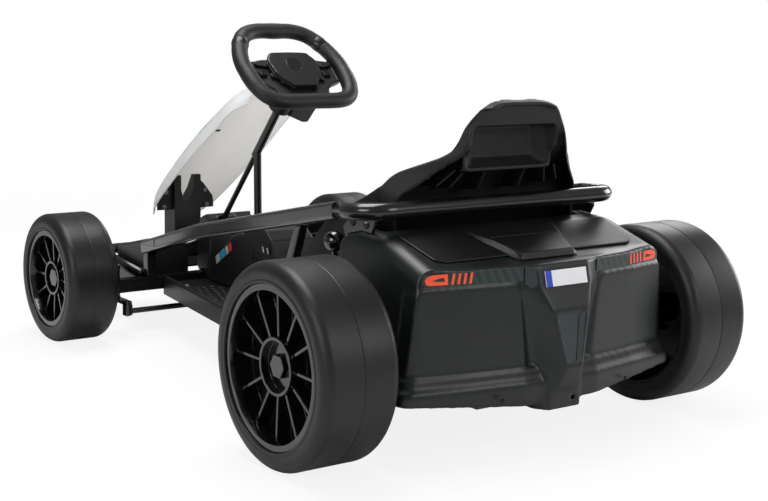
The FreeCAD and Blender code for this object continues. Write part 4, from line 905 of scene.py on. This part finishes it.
# Side rails, hoop, struts and brackets: steel section and tube, satin black powder coat, bolted.
for node, edge in (("side_rail_left", 0.0012), ("side_rail_right", 0.0012), ("rear_hoop", 0.0),
                   ("rail_struts", 0.0020), ("hoop_brackets", 0.0010)):
    dressed(node, frame_paint, edge)
bracket_face_y = 208.0
hoop_screw_z = 309.0
hoop_screws = on_both_sides([(x, bracket_face_y, hoop_screw_z) for x in (40.0, 72.0)], (0, 1, 0))
screws("hoop_bracket_screws", "hoop_brackets", hoop_screws, 0.0055, 0.0026, black_screw)

# Seat: one matte black bucket moulding, open behind, with a pocket in the headrest and ribs.
seat_black = moulded("seat_black", (0.0062, 0.0062, 0.0066), 0.52, 1500.0, 0.00012, 0.35, shine=0.3)
seat_shell = merged_copy("seat", seat_black)
pocket_half, pocket_low = 79.0, 387.0
pocket_wall = 6.0
trim_clear = 3.0
# The skin's rear face as (x, z), behind which the pocket's frame is trimmed away
skin_rear = ((-37.0, 470.0), (-31.5, 454.0), (-27.5, 434.0), (-21.5, 414.0), (-13.0, 404.0),
             (-12.0, 375.0))
trim_back_x = -60.0
# The pad that closes the pocket in front is drawn in toward its top, inside the shell's flank. The
# draw starts ahead of the skin and out from the middle, and dies away before the shell's rim
pad_draw = 0.21
pad_reach_up = 0.068
pad_rear_x = -22
pad_inner_y, pad_outer_y = 35.0, 100.0
for vertex in seat_shell.data.vertices:
    rise = vertex.co.z - pocket_low / 1000
    out = abs(vertex.co.y) * 1000
    ahead_of_skin = (vertex.co.x - placed(pad_rear_x, 0, 0).x) / 0.012
    share = max(0.0, min(1.0, ahead_of_skin, (out - pad_inner_y) / 40.0, (pad_outer_y - out) / 13.0))
    if 0 < rise < pad_reach_up:
        vertex.co.y -= math.copysign(pad_draw * rise * share, vertex.co.y)
outline = [placed(x, 0, z) for x, z in skin_rear]
outline += [placed(trim_back_x, 0, skin_rear[-1][1]), placed(trim_back_x, 0, skin_rear[0][1])]
reach = Vector((0, (pocket_half + pocket_wall + trim_clear) / 1000, 0))
vertices = [p - reach for p in outline] + [p + reach for p in outline]
trimmer = mesh_piece("pocket_trimmer", vertices, prism_faces(len(outline)), seat_black)
trim = seat_shell.modifiers.new("trim", "BOOLEAN")
trim.operation = "DIFFERENCE"
trim.object = trimmer
trim.solver = "EXACT"
settled(seat_shell)
bpy.data.objects.remove(trimmer)
joined(moulded_soft(seat_shell, grid=0.0019, passes=3, keep=0.45), "seat", True)
seat_screw_y, seat_screw_z = 82.0, 205.0
seat_screws = on_both_sides([(x, seat_screw_y, seat_screw_z) for x in (131.0, 281.0)], (0, 0, 1))
screws("seat_screws", "seat", seat_screws, 0.0060, 0.0020, black_screw)

# Rear housing: a large satin moulding with a lid, a chamfered hatch, two raised back panels, a
# spine with a pocket, and a skirt. Screws go in along the skirt; the tow hole is in its bulge.
housing_black = moulded("housing_black", (0.0050, 0.0062, 0.0066), 0.36, 1500.0, 0.00009, 0.4,
                        shine=0.38)
lid_black = moulded("lid_black", (0.0040, 0.0040, 0.0043), 0.38, 1500.0, 0.00010, 0.35, shine=0.28)
housing_shell = merged_copy("rear_housing", housing_black)
joined(moulded_soft(housing_shell, grid=0.0028, passes=7, keep=0.5), "rear_housing", True)
dressed("housing_lid", lid_black, 0.0016, 3)
# A lighter copy of the housing's black: a painted highlight for the tilted facets on the spine and
# beside the plate, which catch the light
painted_highlight_black = moulded("painted_highlight_black", (0.024, 0.027, 0.031), 0.34, 1500.0, 0.00006, 0.3, shine=0.5)
inset_grey = moulded("inset_grey", (0.020, 0.030, 0.033), 0.42, 420.0, 0.00030, 0.9, shine=0.4)
# The spine's crest, from its neck down to its foot: distance behind the rear axle, height
neck_back, neck_z = 156.0, 206.0
foot_back, foot_z = 167.0, 123.0
keel_slope = (foot_back - neck_back) / (neck_z - foot_z)


def keel_x(z):
    """Where the spine's crest stands between its neck and its foot."""
    return -neck_back - (neck_z - z) * keel_slope


def facet(name, corners, thickness, finish):
    """A thin facet on four or more corners in millimetres, thickened toward the back."""
    across = placed(*corners[1]) - placed(*corners[0])
    down = placed(*corners[-1]) - placed(*corners[0])
    outward = across.cross(down)
    if outward.x > 0:
        outward.negate()
    slab(name, "rear_housing", [placed(*corner) for corner in corners], outward, thickness, finish)


inset_top, inset_low = 198.0, 133.0
inset_top_x, inset_low_x = keel_x(inset_top), keel_x(inset_low)
facet("spine_inset",
      [(inset_top_x + 2.4, 24.5, inset_top), (inset_top_x + 2.4, -14.0, inset_top),
       (inset_low_x + 2.4, -5.0, inset_low), (inset_low_x + 2.4, 11.5, inset_low)],
      0.0006, inset_grey)
# This facet and the plate's facet below are in the lighter black of the painted highlight
facet("spine_bevel",
      [(inset_top_x + 2.2, -15.0, inset_top), (inset_top_x - 0.4, -24.5, inset_top + 1),
       (inset_low_x - 0.4, -12.5, inset_low - 1), (inset_low_x + 2.2, -6.0, inset_low)],
      0.0006, painted_highlight_black)
facet("plate_panel_facet",
      [(-131.0, 66.0, 266.0), (-137.8, 53.0, 266.0), (-143.0, 53.0, 241.0), (-137.0, 60.0, 236.5),
       (-131.5, 66.0, 243.0)],
      0.0008, painted_highlight_black)
# Screws along the foot of the skirt, in recesses whose shade is painted into the heads' near black:
# left and right
skirt_screws = [(placed(-146.0, 111.0, 90.0), (-1, 0.1, 0)),
                (placed(-140.0, -127.0, 87.0), (-1, -0.1, 0))]
screws("skirt_screws", "rear_housing", skirt_screws, 0.0034, 0.0016, painted_shade_and_print_dark)

# Tail lamps: a dark film strip with fine slanted hatching, and on it an open end lamp and four
# slanted bars in orange-red, the same on both sides. The housing's back bends once on each side.
back_middle_x = -130.0
back_middle_y = 66.0
back_bend_x = -116.5
back_bend_y = 150.0
back_corner_x = -96.5
housing_half = 240.0
strip_out = 1.5


def back_x(y):
    """Where the housing's back stands at a distance out from its middle line."""
    if y < back_bend_y:
        share = (y - back_middle_y) / (back_bend_y - back_middle_y)
        return back_middle_x + share * (back_bend_x - back_middle_x)
    share = (y - back_bend_y) / (housing_half - back_bend_y)
    return back_bend_x + share * (back_corner_x - back_bend_x)


def lamp_film():
    """The strip's film, whose hatching goes into the moulded skin as its colour."""
    material = moulded("lamp_film", (0.012, 0.024, 0.021), 0.34, 900.0, 0.00002, 0.2, shine=0.4)
    nodes = material.node_tree.nodes
    skin = next(n for n in nodes if n.type == "GROUP")
    place = nodes.new("ShaderNodeTexCoord")
    slant = nodes.new("ShaderNodeMapping")
    slant.inputs["Rotation"].default_value = (math.radians(28), 0, 0)
    hatch = nodes.new("ShaderNodeTexWave")
    hatch.bands_direction = "Y"
    set_inputs(hatch, {"Scale": 26.0, "Distortion": 0.3})
    ramp = nodes.new("ShaderNodeValToRGB")
    for stop, position, colour in zip(ramp.color_ramp.elements, (0.42, 0.62),
                                      ((0.010, 0.015, 0.015, 1), (0.015, 0.034, 0.029, 1))):
        stop.position = position
        stop.color = colour
    link(place, "Object", slant, "Vector")
    link(slant, "Vector", hatch, "Vector")
    link(hatch, "Fac", ramp, "Fac")
    link(ramp, "Color", skin, "Colour")
    return material


dressed("tail_lamps", lamp_film(), 0.0004, 2)
lamp_red = moulded("lamp_red", (0.88, 0.085, 0.030), 0.34, 600.0, 0.00001, 0.08, shine=0.4)
lamp_low_z = 249.0
lamp_high_z = 263.5
lamp_lift = 0.30
film_gap = 0.05


def on_film(outline, side, lift):
    """An outline of (distance out, height) pairs in millimetres, on the strip and raised by lift."""
    return [placed(back_x(y) - strip_out - film_gap - lift, side * y, z) for y, z in outline]


def lamp_loop(shrink):
    """Outline of the end lamp, square inward and pointed outward, drawn in by shrink."""
    inner, outer = 182.0 + shrink, 215.0 - 2.1 * shrink
    low, high = lamp_low_z + shrink, lamp_high_z - shrink
    return [(inner, low), (inner + 1, high), (outer - 11, high - 0.5), (outer - 3, high - 3.0),
            (outer, (low + high) / 2), (outer - 2, low + 1.5), (outer - 7, low)]


loop_wide = 4.6
first_bar_y, bar_pitch, bar_wide, bar_slant = 148.0, 8.6, 3.6, 2.0
for side_name, side in (("left", 1), ("right", -1)):
    loops = (lamp_loop(0.0), lamp_loop(loop_wide))
    count = len(loops[0])
    vertices = []
    for lift in (0.0, lamp_lift):
        for loop in loops:
            vertices += on_film(loop, side, lift)
    faces = []
    for number in range(count):
        after = (number + 1) % count
        for a, b in ((0, 1), (2, 3), (0, 2), (1, 3)):
            near, far = a * count, b * count
            faces.append((number + near, after + near, after + far, number + far))
    lamp_end = mesh_piece(f"lamp_end_{side_name}", vertices, faces, lamp_red)
    joined(softened(lamp_end, 0), "tail_lamps")
    for number in range(4):
        y = first_bar_y + bar_pitch * number
        outline = [(y, lamp_low_z), (y + bar_wide, lamp_low_z), (y + bar_wide - bar_slant, lamp_high_z),
                   (y - bar_slant, lamp_high_z)]
        vertices = on_film(outline, side, 0.0) + on_film(outline, side, lamp_lift)
        name = f"lamp_bar_{side_name}_{number}"
        bar = mesh_piece(name, vertices, prism_faces(len(outline)), lamp_red)
        joined(softened(bar, 0), "tail_lamps")

# Plate: a blank white plate with a blue band at its left end, in a shallow dark surround.
plate_white = moulded("plate_white", (0.80, 0.80, 0.82), 0.35, 600.0, 0.00001, 0.05, shine=0.4)
plate_blue = moulded("plate_blue", (0.030, 0.060, 0.46), 0.35, 600.0, 0.00001, 0.1, shine=0.4)
dressed("number_plate", plate_white, 0.0005)
plate_lean = Vector((7.0, 0, 27.0)).normalized()
plate_out = Vector((-plate_lean.z, 0, plate_lean.x))
plate_foot = placed(-144.4, 38.0, 237.0)
plate_height = 0.022
plate_thick = 0.0015
band_gap = 0.00005
band_right = Vector((0, -0.011, 0))
band_rise = plate_lean * plate_height
band_foot = plate_foot + plate_out * (plate_thick + band_gap)
slab("plate_band", "number_plate",
     [band_foot, band_foot + band_right, band_foot + band_right + band_rise, band_foot + band_rise],
     plate_out, 0.0003, plate_blue, 0.0001, 1)
